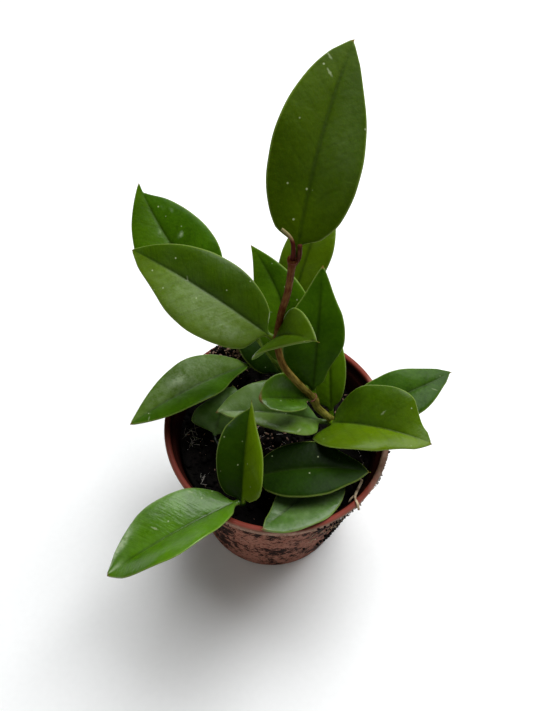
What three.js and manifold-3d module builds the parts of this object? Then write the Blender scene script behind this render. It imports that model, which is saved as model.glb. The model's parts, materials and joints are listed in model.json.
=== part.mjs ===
// A young hoya (wax plant) in a small moulded plastic nursery pot.
// Millimetres, +Z up. The origin is the centre of the pot's flat foot.
// Every leaf, every stem, the soil and the pot is a closed solid of its own.

import * as THREE from "three";
import { mergeVertices } from "three/addons/utils/BufferGeometryUtils.js";
import Module from "manifold-3d";

const wasm = await Module();
wasm.setup();

// Pot
const POT_HEIGHT = 98;
const RIM_RADIUS = 55;
const FOOT_RADIUS = 42;
const POT_WALL = 1.4;
const FLOOR_THICKNESS = 2;
const COLLAR_HEIGHT = 7.5;
const COLLAR_STEP = 1.8;
const LIP_HEIGHT = 2.4;
const LIP_OVERHANG = 1.1;
const POT_SIDES = 48;
const DRAIN_HOLES = 8;
const DRAIN_RADIUS = 3.5;
const DRAIN_CIRCLE = 29;

// Soil
const SOIL_LEVEL = 82;
const SOIL_RISE_TO_BACK = 1;
const SOIL_FALL_TO_RIGHT = 3;
const SOIL_LUMP = 1.6;
const SOIL_SIDES = 36;
const SOIL_RINGS = 8;
const HEAP = { x: -24, y: 38, height: 6, spread: 13 };
const CLODS = 16;
const CLOD_SIZE = [1.2, 2.6];
const CLEARANCE = 0.3;

// Plant
const STEM_SIDES = 10;
const PETIOLE_RADIUS = 1.3;
const BLADE_THICKNESS = 1.6;
const MARGIN_THICKNESS = 0.7;
const BLADE_STEPS = 12;
const PETIOLE_STEPS = 3;

const RADIANS = Math.PI / 180;

function vec(point) {
  return new THREE.Vector3(...point);
}

function finish(color, roughness) {
  return new THREE.MeshStandardMaterial({ color, roughness, metalness: 0 });
}

const terracottaPlastic = finish(0x8a5347, 0.55);
const pottingSoil = finish(0x2b211c, 0.95);
const woodyStem = finish(0x6b5238, 0.6);
const greenStem = finish(0x6f8f3a, 0.5);
const waxyLeaf = finish(0x46701f, 0.38);
const redStem = finish(0x6e3a38, 0.5);
const dryTip = finish(0x9b7a55, 0.8);

// A closed solid from rings of points with equal counts. Where flip(j) is true
// the quad beside point j is split along its other diagonal, so that a blade's
// upper and lower faces are split alike.
function loft(rings, flip = () => false) {
  const count = rings[0].length;
  const positions = rings.flat().flatMap((p) => [p.x, p.y, p.z]);
  const faces = [];
  for (let i = 0; i + 1 < rings.length; i += 1) {
    for (let j = 0; j < count; j += 1) {
      const a = i * count + j;
      const b = i * count + ((j + 1) % count);
      const c = a + count;
      const d = b + count;
      faces.push(...(flip(j) ? [a, b, d, a, d, c] : [a, b, c, b, d, c]));
    }
  }
  const last = (rings.length - 1) * count;
  for (let j = 1; j + 1 < count; j += 1) {
    faces.push(0, j + 1, j);
    faces.push(last, last + j, last + j + 1);
  }
  const geometry = new THREE.BufferGeometry();
  geometry.setAttribute("position", new THREE.Float32BufferAttribute(positions, 3));
  geometry.setIndex(faces);
  return outward(geometry);
}

// Turns a closed geometry's faces outwards, judged by its signed volume.
function outward(geometry) {
  const p = geometry.attributes.position;
  const index = geometry.index.array;
  const corner = (i) => new THREE.Vector3().fromBufferAttribute(p, index[i]);
  let volume = 0;
  for (let i = 0; i < index.length; i += 3) {
    volume += corner(i).dot(corner(i + 1).cross(corner(i + 2)));
  }
  if (volume < 0) {
    for (let i = 0; i < index.length; i += 3) {
      [index[i], index[i + 1]] = [index[i + 1], index[i]];
    }
  }
  return geometry;
}

function welded(geometry) {
  const bare = geometry.clone();
  bare.deleteAttribute("normal");
  bare.deleteAttribute("uv");
  return mergeVertices(bare, 1e-4);
}

function toSolid(geometry) {
  const g = outward(welded(geometry));
  const vertProperties = new Float32Array(g.attributes.position.array);
  const triVerts = new Uint32Array(g.index.array);
  return new wasm.Manifold(new wasm.Mesh({ numProp: 3, vertProperties, triVerts }));
}

function toGeometry(solid) {
  const mesh = solid.getMesh();
  const geometry = new THREE.BufferGeometry();
  geometry.setAttribute("position", new THREE.Float32BufferAttribute(mesh.vertProperties, 3));
  geometry.setIndex([...mesh.triVerts]);
  geometry.computeVertexNormals();
  return geometry;
}

// Stems: hand-placed points up the middle of each, its radius at foot and tip,
// and the heights at which it thickens into a leaf node.
const STEMS = {
  stem_main: {
    points: [[27, 6, 50], [27, 6, 84], [27, 3, 97], [18, 3, 110], [16, 4, 115], [7, 4, 129],
      [0, 5, 141], [-3, 9, 152], [-1, 11, 169], [-1, 8, 186], [1, 0, 210]],
    radius: [2.4, 1.3],
    nodes: [97, 115, 152, 209],
    material: woodyStem,
  },
  stem_side: {
    points: [[18, 3, 110], [13, 9, 113], [9, 15, 117], [5, 31, 124]],
    radius: [1.3, 1.2],
    nodes: [117],
    parent: "stem_main",
    material: greenStem,
  },
  stem_front: {
    points: [[-10, -28, 50], [-10, -28, 82], [-11, -33, 91], [-12.6, -38.5, 95], [-14, -42.5, 97]],
    radius: [1.8, 1.2],
    nodes: [91, 96],
    material: woodyStem,
  },
  stem_back: {
    points: [[8, 28, 52], [7, 28, 86], [2, 26, 98], [-7, 26, 118], [-17, 33, 127], [-27, 42, 131]],
    radius: [1.7, 1.2],
    nodes: [92, 98],
    material: greenStem,
  },
  stem_right: {
    points: [[34, -14, 52], [34, -14, 82], [33, -16, 90]],
    radius: [1.7, 1.5],
    nodes: [],
    material: woodyStem,
  },
};

// Two short ends at the topmost node: the stalk of a lost leaf, and the shoot's
// own tip, which has withered.
const SHOOT_ENDS = {
  petiole_stub: {
    points: [[2.3, -0.2, 209], [3.2, -0.4, 213], [3.4, 0.8, 217]],
    radius: [0.7, 0.7],
    nodes: [],
    parent: "stem_main",
    material: redStem,
  },
  withered_tip: {
    points: [[0.1, -0.2, 209], [-0.5, 0, 213], [-1.2, 2, 217], [-3.5, 3.6, 219.5], [-5, 4.4, 220]],
    radius: [0.95, 0.45],
    nodes: [],
    parent: "stem_main",
    material: dryTip,
  },
};

function stemCurve(stem) {
  return new THREE.CatmullRomCurve3(stem.points.map(vec), false, "centripetal");
}

function circleRing(centre, side, up, radius, sides) {
  return Array.from({ length: sides }, (_, k) => {
    const angle = (k / sides) * 2 * Math.PI;
    return centre.clone()
      .addScaledVector(side, radius * Math.cos(angle))
      .addScaledVector(up, radius * Math.sin(angle));
  });
}

// A round stem along its curve, thicker by `extra` all over.
function stemGeometry(stem, extra = 0) {
  const curve = stemCurve(stem);
  const steps = Math.ceil(curve.getLength() / 5);
  const frames = curve.computeFrenetFrames(steps, false);
  const rings = [];
  for (let i = 0; i <= steps; i += 1) {
    const u = i / steps;
    const centre = curve.getPointAt(u);
    if (i === 0) centre.addScaledVector(frames.tangents[0], -extra);
    if (i === steps) centre.addScaledVector(frames.tangents[steps], extra);
    const swelling = stem.nodes.some((z) => Math.abs(z - centre.z) < 2.6) ? 0.5 : 0;
    const radius = THREE.MathUtils.lerp(...stem.radius, u) + swelling + extra;
    rings.push(circleRing(centre, frames.normals[i], frames.binormals[i], radius, STEM_SIDES));
  }
  return loft(rings);
}

// A side shoot ends in a hollow that fits round the stem it grew from.
function jointedStem(stem) {
  if (!stem.parent) return stemGeometry(stem);
  const parent = toSolid(stemGeometry(STEMS[stem.parent], CLEARANCE));
  return toGeometry(toSolid(stemGeometry(stem)).subtract(parent));
}

// Leaves. base and tip are the ends of the blade's midrib; from is the point on
// the stem that the petiole leaves, and knee how far back its bend lies. roll
// turns the blade about its midrib, fold lifts both halves into a V, arch bows
// the midrib up, sway bends it sideways, cup lifts the margins, skew shifts one
// half back against the other, lean makes one half wider, lobe draws the base out
// behind the petiole, and blunt and point set how full the base and the tip are.
const LEAVES = {
  leaf_main_top: {
    stem: "stem_main", from: [1.3, 1.5, 209], base: [1.6, 4, 216], tip: [14.4, 57, 255.4],
    width: 31, roll: 10, fold: 5, arch: 3, sway: -2, petiole: 0.8, knee: 0.15, skew: 2,
    blunt: 0.55, point: 0.78,
  },
  leaf_main_left: {
    stem: "stem_main", from: [-3, 9, 152], base: [-7, 11, 153], tip: [-70, 42, 165],
    width: 35, roll: -26, fold: 9, arch: 4, sway: 1.2, point: 0.85, lean: -0.06,
  },
  leaf_main_small: {
    stem: "stem_main", from: [-3, 9, 152], base: [-3.5, 7.5, 154], tip: [13.4, -5.4, 173],
    width: 27, roll: 20, fold: 21, arch: 4.5, skew: 7.5, point: 1.1, lean: 0.06,
  },
  leaf_main_back: {
    stem: "stem_main", from: [16, 4, 115], base: [15.3, 8, 117.5], tip: [14, 42, 165],
    width: 29, roll: -4, fold: 12, arch: 3, point: 1, lean: -0.08,
  },
  leaf_main_round: {
    stem: "stem_main", from: [16, 4, 115], base: [13, 3, 117], tip: [-9, -7, 130],
    width: 17, roll: -18, fold: 14, arch: 0, cup: 0.3, point: 0.62, lean: 0.15,
  },
  leaf_main_right: {
    stem: "stem_main", from: [27, 3, 97], base: [27, 0, 101], tip: [70, -14, 115],
    width: 38, roll: 5, fold: 28, arch: 5, lobe: 11, skew: 4, blunt: 0.5, point: 0.62, lean: -0.04,
  },
  leaf_main_low: {
    stem: "stem_main", from: [27, 3, 97], base: [21, 2, 98], tip: [-29, -6, 112],
    width: 33, roll: 0, fold: 28, arch: 4, point: 0.72,
  },
  leaf_foot_back: {
    stem: "stem_main", from: [27, 4, 93], base: [26, 10, 96], tip: [20.5, 40, 126],
    width: 20, roll: -8, fold: 10, arch: 3, point: 0.62, lean: -0.2,
  },
  leaf_foot_right: {
    stem: "stem_main", from: [27, 5, 88], base: [34, 11, 92], tip: [84.6, 31, 107.6],
    width: 26, roll: 10, fold: 12, arch: 5, sway: 3,
  },
  leaf_side_right: {
    stem: "stem_side", from: [5, 30, 124], base: [1, 42, 130], tip: [14.5, 80, 171],
    width: 24, roll: 6, fold: 8, arch: 3,
  },
  leaf_side_left: {
    stem: "stem_side", from: [9, 15, 117], base: [5, 16, 122], tip: [-19, 55, 161],
    width: 28, roll: -20, fold: 12, arch: 3, sway: 5, point: 1.1, lean: -0.05,
  },
  leaf_front_up: {
    stem: "stem_front", from: [-12.5, -38, 95.5], base: [-11.7, -40.4, 102], tip: [-12, -8, 130],
    width: 26, roll: -12, fold: 34, arch: 3, point: 0.9, skew: 5, lobe: 8,
  },
  leaf_front_out: {
    stem: "stem_front", from: [-13.8, -42, 96.5], base: [-16.3, -44.3, 100], tip: [-65.4, -79.3, 97.2],
    width: 34, roll: 18, fold: 30, arch: 4, sway: -1,
  },
  leaf_front_right: {
    stem: "stem_front", from: [-11, -33, 92], base: [-9, -30.4, 98.2], tip: [44, -25.4, 104.3],
    width: 28.6, roll: -3, fold: 9, arch: 1.5, sway: -2.6, lean: 0.05,
  },
  leaf_front_left: {
    stem: "stem_front", from: [-10, -29, 88], base: [-32, -9, 95], tip: [-24, 17, 100],
    width: 29, roll: -4, fold: 5, arch: 3, knee: 0.15, blunt: 0.4, point: 0.9, lobe: 3,
  },
  leaf_back_top: {
    stem: "stem_back", from: [-26, 41, 131], base: [-36, 46, 133], tip: [-76, 86, 165],
    width: 38, roll: -22, fold: 8, arch: 3, sway: -3, point: 1,
  },
  leaf_back_left: {
    stem: "stem_back", from: [6, 27, 90], base: [-16, 30, 100], tip: [-68, -14, 108],
    width: 29, roll: 0, fold: 28, arch: 5, blunt: 0.85, point: 1,
  },
  leaf_back_under: {
    stem: "stem_back", from: [3, 26, 96], base: [-1, 27, 98], tip: [-24, 57, 110],
    width: 25, roll: -10, fold: 6, arch: 4,
  },
  leaf_short: {
    stem: "stem_right", from: [33, -16, 86], base: [30, -17, 89], tip: [-3, -55, 101],
    width: 28, roll: 8, fold: 15, arch: -2, lean: -0.22,
  },
};

// Half-width of a hoya blade along its midrib, as a share of its widest:
// rounded at the base, widest before the middle, drawn out to a short point.
function bladeShape(s, blunt, point) {
  const widest = blunt / (blunt + point);
  const body = (s / widest) ** blunt * ((1 - s) / (1 - widest)) ** point;
  return s < 0.999 ? body : 0;
}

function bladeFrame(leaf) {
  const base = vec(leaf.base);
  const along = vec(leaf.tip).sub(base);
  const length = along.length();
  along.normalize();
  const up = new THREE.Vector3(0, 0, 1);
  up.addScaledVector(along, -up.dot(along)).normalize();
  up.applyAxisAngle(along, leaf.roll * RADIANS);
  const side = new THREE.Vector3().crossVectors(along, up);
  return { base, along, up, side, length };
}

function midrib(leaf, frame, s) {
  const bow = 4 * s * (1 - s);
  return frame.base.clone()
    .addScaledVector(frame.along, frame.length * s)
    .addScaledVector(frame.up, leaf.arch * bow)
    .addScaledVector(frame.side, (leaf.sway ?? 0) * bow);
}

// One ring round the blade: upper face from left to right, lower face back.
function bladeRing(leaf, frame, s) {
  const centre = midrib(leaf, frame, s);
  const ahead = midrib(leaf, frame, Math.min(1, s + 0.02));
  const behind = midrib(leaf, frame, Math.max(0, s - 0.02));
  const along = ahead.sub(behind).normalize();
  const up = frame.up.clone().addScaledVector(along, -frame.up.dot(along)).normalize();
  const side = new THREE.Vector3().crossVectors(along, up);
  const shape = bladeShape(s, leaf.blunt ?? 0.6, leaf.point ?? 0.73);
  const half = Math.max(s < 0.5 ? leaf.petiole ?? PETIOLE_RADIUS : 0.5, (leaf.width / 2) * shape);
  const grown = Math.min(1, half / (leaf.width / 2));
  const fold = leaf.fold * RADIANS;
  const point = (t, face) => {
    const reach = half * t * (1 + (leaf.lean ?? 0) * Math.sign(t));
    const thick = THREE.MathUtils.lerp(BLADE_THICKNESS, MARGIN_THICKNESS, Math.abs(t) * grown ** 0.5);
    const lift = half * (Math.sin(fold) * Math.abs(t) + (leaf.cup ?? 0) * t * t) * grown;
    const back = (leaf.lobe ?? 0) * t * t * (1 - s) ** 3 * grown + (leaf.skew ?? 0) * t * grown;
    return centre.clone()
      .addScaledVector(along, -back)
      .addScaledVector(side, reach * Math.cos(fold))
      .addScaledVector(up, lift + (face * thick) / 2);
  };
  const across = [-1, -0.5, 0, 0.5, 1];
  const upper = across.map((t) => point(t, 1));
  const lower = across.map((t) => point(t, -1)).reverse();
  return [...upper, ...lower];
}

// Rings of the petiole, from the middle of the stem to the blade's base.
function petioleRings(leaf, frame) {
  const start = vec(leaf.from);
  const reach = start.distanceTo(frame.base);
  const knee = frame.base.clone().addScaledVector(frame.along, -reach * (leaf.knee ?? 0.5));
  const curve = new THREE.QuadraticBezierCurve3(start, knee, frame.base);
  const steps = PETIOLE_STEPS + Math.round(reach / 8);
  const rings = [];
  for (let i = 0; i < steps; i += 1) {
    const centre = curve.getPoint(i / steps);
    const along = curve.getTangent(i / steps);
    const up = frame.up.clone().addScaledVector(along, -frame.up.dot(along)).normalize();
    const side = new THREE.Vector3().crossVectors(along, up);
    const radius = leaf.petiole ?? PETIOLE_RADIUS;
    const ring = [162, 126, 90, 54, 18, -18, -54, -90, -126, -162].map((angle) => centre.clone()
      .addScaledVector(side, radius * Math.cos(angle * RADIANS))
      .addScaledVector(up, radius * Math.sin(angle * RADIANS)));
    rings.push(ring);
  }
  return rings;
}

function leafGeometry(leaf) {
  const frame = bladeFrame(leaf);
  const rings = petioleRings(leaf, frame);
  for (let i = 0; i <= BLADE_STEPS; i += 1) {
    const s = (1 - Math.cos((Math.PI * i) / BLADE_STEPS)) / 2;
    rings.push(bladeRing(leaf, frame, s));
  }
  const whole = loft(rings, (j) => j >= 5 && j < 9);
  const stem = toSolid(stemGeometry(STEMS[leaf.stem], CLEARANCE));
  return toGeometry(toSolid(whole).subtract(stem));
}

// Radius of the pot's outer wall at a height, under the collar.
function wallRadius(z) {
  const top = RIM_RADIUS - LIP_OVERHANG - COLLAR_STEP - 0.4;
  return THREE.MathUtils.lerp(FOOT_RADIUS, top, z / (POT_HEIGHT - COLLAR_HEIGHT));
}

function lathe(profile, sides) {
  const points = profile.map(([r, z]) => new THREE.Vector2(r, z));
  return new THREE.LatheGeometry(points, sides).rotateX(Math.PI / 2);
}

function potGeometry() {
  const collarFoot = POT_HEIGHT - COLLAR_HEIGHT;
  const collarRadius = RIM_RADIUS - LIP_OVERHANG - 0.3;
  const shell = lathe([
    [0, 0],
    [FOOT_RADIUS - 1, 0],
    [wallRadius(1), 1],
    [wallRadius(collarFoot - 1), collarFoot - 1],
    [collarRadius - 0.2, collarFoot],
    [RIM_RADIUS - LIP_OVERHANG, POT_HEIGHT - LIP_HEIGHT],
    [RIM_RADIUS, POT_HEIGHT - LIP_HEIGHT + 0.4],
    [RIM_RADIUS, POT_HEIGHT - 0.5],
    [RIM_RADIUS - 0.6, POT_HEIGHT],
    [RIM_RADIUS - LIP_OVERHANG - POT_WALL, POT_HEIGHT - 0.3],
    [collarRadius - POT_WALL - 0.2, collarFoot + 1.2],
    [wallRadius(collarFoot) - POT_WALL, collarFoot],
    [wallRadius(FLOOR_THICKNESS) - POT_WALL, FLOOR_THICKNESS],
    [0, FLOOR_THICKNESS],
  ], POT_SIDES);
  let solid = toSolid(shell);
  for (let i = 0; i < DRAIN_HOLES; i += 1) {
    const angle = (i / DRAIN_HOLES) * 2 * Math.PI;
    const hole = new THREE.CylinderGeometry(DRAIN_RADIUS, DRAIN_RADIUS, 3 * FLOOR_THICKNESS, 12);
    hole.rotateX(Math.PI / 2);
    hole.translate(DRAIN_CIRCLE * Math.cos(angle), DRAIN_CIRCLE * Math.sin(angle), 0);
    solid = solid.subtract(toSolid(hole));
  }
  return toGeometry(solid);
}

// Height of the loose soil surface: higher at the back, with lumps.
function soilHeight(x, y) {
  const lumps = Math.sin(x * 0.31 + 1.7) * Math.cos(y * 0.27 - 0.6)
    + 0.6 * Math.sin(x * 0.13 - y * 0.41) + 0.4 * Math.cos(x * 0.67 + y * 0.53);
  const slope = (SOIL_RISE_TO_BACK * y - SOIL_FALL_TO_RIGHT * x) / RIM_RADIUS;
  const away = Math.hypot(x - HEAP.x, y - HEAP.y) / HEAP.spread;
  return SOIL_LEVEL + slope + (SOIL_LUMP * lumps) / 2 + HEAP.height * Math.exp(-away * away);
}

// Draws between 0 and 1 that are the same on every run.
function seededDraws(seed) {
  let state = seed;
  return () => {
    state = (state * 16807) % 2147483647;
    return state / 2147483647;
  };
}

// Coarse clods of peat and bark, half sunk in the surface and clear of stems.
function clodSolids() {
  const draw = seededDraws(11);
  const feet = Object.values(STEMS).map((stem) => stem.points[1]);
  const solids = [];
  while (solids.length < CLODS) {
    const angle = draw() * 2 * Math.PI;
    const out = Math.sqrt(draw()) * 43;
    const x = out * Math.cos(angle);
    const y = out * Math.sin(angle);
    const size = THREE.MathUtils.lerp(...CLOD_SIZE, draw() ** 2);
    const turn = [draw() * 3, draw() * 3];
    if (feet.some((foot) => Math.hypot(foot[0] - x, foot[1] - y) < 7)) continue;
    const clod = new THREE.IcosahedronGeometry(size, 0);
    clod.scale(1, 0.8, 0.6).rotateX(turn[0]).rotateZ(turn[1]);
    clod.translate(x, y, soilHeight(x, y) + size * 0.2);
    solids.push(toSolid(clod));
  }
  return solids;
}

function soilGeometry() {
  const foot = FLOOR_THICKNESS + CLEARANCE;
  const shoulder = SOIL_LEVEL - 4;
  const inner = (z) => wallRadius(z) - POT_WALL - CLEARANCE;
  const profile = [[0, foot], [inner(foot) - 0.3, foot], [inner(shoulder), shoulder]];
  for (let i = SOIL_RINGS; i >= 0; i -= 1) {
    profile.push([((inner(shoulder) - 0.5) * i) / SOIL_RINGS, SOIL_LEVEL]);
  }
  const geometry = welded(lathe(profile, SOIL_SIDES));
  const p = geometry.attributes.position;
  for (let i = 0; i < p.count; i += 1) {
    if (p.getZ(i) > SOIL_LEVEL - 1) p.setZ(i, soilHeight(p.getX(i), p.getY(i)));
  }
  let solid = toSolid(geometry);
  for (const clod of clodSolids()) solid = solid.add(clod);
  for (const stem of Object.values(STEMS)) {
    if (!stem.parent) solid = solid.subtract(toSolid(stemGeometry(stem, CLEARANCE)));
  }
  return toGeometry(solid);
}

const plant = new THREE.Group();

function add(name, geometry, material) {
  const mesh = new THREE.Mesh(geometry, material);
  mesh.name = name;
  plant.add(mesh);
}

add("pot", potGeometry(), terracottaPlastic);
add("soil", soilGeometry(), pottingSoil);
for (const [name, stem] of Object.entries(STEMS)) add(name, jointedStem(stem), stem.material);
for (const [name, end] of Object.entries(SHOOT_ENDS)) add(name, jointedStem(end), end.material);
for (const [name, leaf] of Object.entries(LEAVES)) add(name, leafGeometry(leaf), waxyLeaf);

export default plant;
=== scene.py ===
# %% [markdown]
# # A young hoya in a nursery pot
#
# A hoya, or wax plant, grows thick leaves in pairs at the nodes of thin stems.
# This one stands in a small moulded nursery pot with damp, dark potting soil.
# The CAD model gives the size and place of every piece. This script dresses it:
# each leaf, stem and the pot is built again with finer edges and a real finish.
# To follow the photo more closely, a few leaf bases lie up to about 3 mm from
# their places in the CAD, and the top of the main stem up to about 2 mm.

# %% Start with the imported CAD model
import json
import math
import random

import bpy
import numpy as np
from mathutils import Euler, Matrix, Vector, noise

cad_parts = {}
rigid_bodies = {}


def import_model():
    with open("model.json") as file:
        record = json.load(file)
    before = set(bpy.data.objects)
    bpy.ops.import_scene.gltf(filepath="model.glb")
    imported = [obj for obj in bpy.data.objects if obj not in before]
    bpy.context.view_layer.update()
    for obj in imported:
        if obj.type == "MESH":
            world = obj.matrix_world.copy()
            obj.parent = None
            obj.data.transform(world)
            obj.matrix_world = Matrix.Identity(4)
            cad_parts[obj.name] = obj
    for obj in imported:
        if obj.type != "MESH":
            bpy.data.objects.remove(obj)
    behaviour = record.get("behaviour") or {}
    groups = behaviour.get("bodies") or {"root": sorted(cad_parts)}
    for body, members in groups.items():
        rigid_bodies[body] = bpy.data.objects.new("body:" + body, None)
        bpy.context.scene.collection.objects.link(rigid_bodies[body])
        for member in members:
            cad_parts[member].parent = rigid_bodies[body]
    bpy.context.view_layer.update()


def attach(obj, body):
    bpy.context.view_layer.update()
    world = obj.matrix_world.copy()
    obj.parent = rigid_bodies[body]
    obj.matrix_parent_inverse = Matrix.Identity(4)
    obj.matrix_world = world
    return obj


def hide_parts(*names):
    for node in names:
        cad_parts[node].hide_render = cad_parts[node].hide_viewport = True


for leftover in list(bpy.data.objects):
    bpy.data.objects.remove(leftover)
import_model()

# %% [markdown]
# ## The camera
#
# The photo was taken from in front and well above, tilted down by about 55
# degrees and rolled a little. Those angles and the distance were found by
# fitting the ellipse of the pot's rim and the outline of its foot. The lens is
# guessed as a phone's: a focal length of 600 pixels for a photo 711 pixels high.

# %% Camera
PITCH, YAW, ROLL = 55.47, 2.79, 2.54
FOCAL_PIXELS, PHOTO_HEIGHT, SENSOR = 600, 711, 36
camera_data = bpy.data.cameras.new("photo_camera")
camera_data.sensor_width = SENSOR
camera_data.lens = FOCAL_PIXELS * SENSOR / PHOTO_HEIGHT
camera_data.clip_start = 0.01
camera = bpy.data.objects.new("photo_camera", camera_data)
camera.location = (0, -0.1398, 0.357)
turn = Matrix.Rotation(math.radians(YAW), 3, "Z") @ Matrix.Rotation(math.radians(90 - PITCH), 3, "X")
turn = turn @ Matrix.Rotation(math.radians(ROLL), 3, "Z")
camera.rotation_euler = turn.to_euler()
bpy.context.scene.collection.objects.link(camera)
bpy.context.scene.camera = camera
print("camera looks down by", round(90 - math.degrees(camera.rotation_euler.x)), "degrees")

# %% [markdown]
# ## Colours and shader nodes
#
# Paint charts and colour pickers give sRGB values, but a renderer mixes light
# in linear values, so every colour passes through one function. A second small
# function adds a shader node, sets its inputs and links them, which keeps each
# material short enough to read as a recipe.

# %% Helpers for materials
def srgb(code):
    """A linear colour from an sRGB hex code such as '#3c5303'."""
    parts = [int(code[i:i + 2], 16) / 255 for i in (1, 3, 5)]
    linear = [p / 12.92 if p < 0.04045 else ((p + 0.055) / 1.055) ** 2.4 for p in parts]
    return (*linear, 1.0)


def add_node(material, kind, inputs=None, **settings):
    """Adds a shader node. Inputs are values or other nodes' outputs, by name or number."""
    made = material.node_tree.nodes.new("ShaderNode" + kind)
    for name, value in settings.items():
        setattr(made, name, value)
    for name, value in (inputs or {}).items():
        if isinstance(value, bpy.types.NodeSocket):
            material.node_tree.links.new(value, made.inputs[name])
        else:
            made.inputs[name].default_value = value
    return made


def new_material(name):
    """An empty node material and its output node."""
    material = bpy.data.materials.new(name)
    material.use_nodes = True
    material.node_tree.nodes.clear()
    return material, add_node(material, "OutputMaterial")


def every(millimetres):
    """The texture scale that repeats a pattern about every so many millimetres of the object."""
    return 1000 / millimetres


def set_stops(ramp_node, stops):
    """Sets a colour ramp's stops from (position, colour) pairs."""
    ramp = ramp_node.color_ramp
    while len(ramp.elements) < len(stops):
        ramp.elements.new(0.5)
    for element, (position, colour) in zip(ramp.elements, stops):
        element.position = position
        element.color = colour
    return ramp_node


# %% [markdown]
# ## Helpers for meshes
#
# Stems, stalks, leaves and roots are all lofts: a closed skin over a row of
# rings. Sizes are written in millimetres, as a maker would measure them, and
# turned to metres when the mesh is made.

# %% Helpers for meshes
def mesh_piece(name, vertices, faces, material):
    """A smooth shaded object from vertices in millimetres."""
    mesh = bpy.data.meshes.new(name)
    mesh.from_pydata((np.asarray(vertices, float) / 1000).tolist(), [], faces)
    mesh.shade_smooth()
    mesh.materials.append(material)
    made = bpy.data.objects.new(name, mesh)
    bpy.context.scene.collection.objects.link(made)
    return made


def loft_faces(count, around, first=0):
    """Quads between rings, and a cap at each end, facing outwards."""
    faces = []
    for i in range(count - 1):
        for j in range(around):
            a = first + i * around + j
            b = first + i * around + (j + 1) % around
            faces.append((a, b, b + around, a + around))
    last = first + (count - 1) * around
    faces.append(tuple(range(first, first + around))[::-1])
    faces.append(tuple(range(last, last + around)))
    return faces


def smooth_path(points, step):
    """Points about `step` mm apart on a centripetal curve through the given ones."""
    p = np.array(points, float)
    p = np.vstack([2 * p[0] - p[1], p, 2 * p[-1] - p[-2]])
    dense = []
    for a, b, c, d in zip(p, p[1:], p[2:], p[3:]):
        t1 = np.linalg.norm(b - a) ** 0.5
        t2 = t1 + np.linalg.norm(c - b) ** 0.5
        t3 = t2 + np.linalg.norm(d - c) ** 0.5
        for t in np.linspace(t1, t2, 30, endpoint=False):
            ab = a + (b - a) * t / t1
            bc = b + (c - b) * (t - t1) / (t2 - t1)
            cd = c + (d - c) * (t - t2) / (t3 - t2)
            abc = ab + (bc - ab) * t / t2
            bcd = bc + (cd - bc) * (t - t1) / (t3 - t1)
            dense.append(abc + (bcd - abc) * (t - t1) / (t2 - t1))
    dense = np.array(dense + [p[-2]])
    run = np.concatenate([[0], np.cumsum(np.linalg.norm(np.diff(dense, axis=0), axis=1))])
    places = np.linspace(0, run[-1], max(4, int(run[-1] / step) + 1))
    return np.stack([np.interp(places, run, dense[:, k]) for k in range(3)], axis=1)


def tube_rings(path, radii, around):
    """Round rings along a path, turned as little as possible from one to the next."""
    tangents = np.gradient(path, axis=0)
    tangents /= np.linalg.norm(tangents, axis=1)[:, None]
    side = np.cross(tangents[0], [0.3, 1.0, 0.2])
    rings = []
    for centre, along, radius in zip(path, tangents, radii):
        side = side - along * side.dot(along)
        side /= np.linalg.norm(side)
        up = np.cross(along, side)
        angle = np.linspace(0, 2 * math.pi, around, endpoint=False)[:, None]
        radius = np.broadcast_to(radius, (around,))[:, None]
        rings.append(centre + radius * (side * np.cos(angle) + up * np.sin(angle)))
    return np.array(rings)


def tube(name, path, radii, around, material):
    rings = tube_rings(path, radii, around)
    return mesh_piece(name, rings.reshape(-1, 3), loft_faces(len(rings), around), material)
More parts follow.
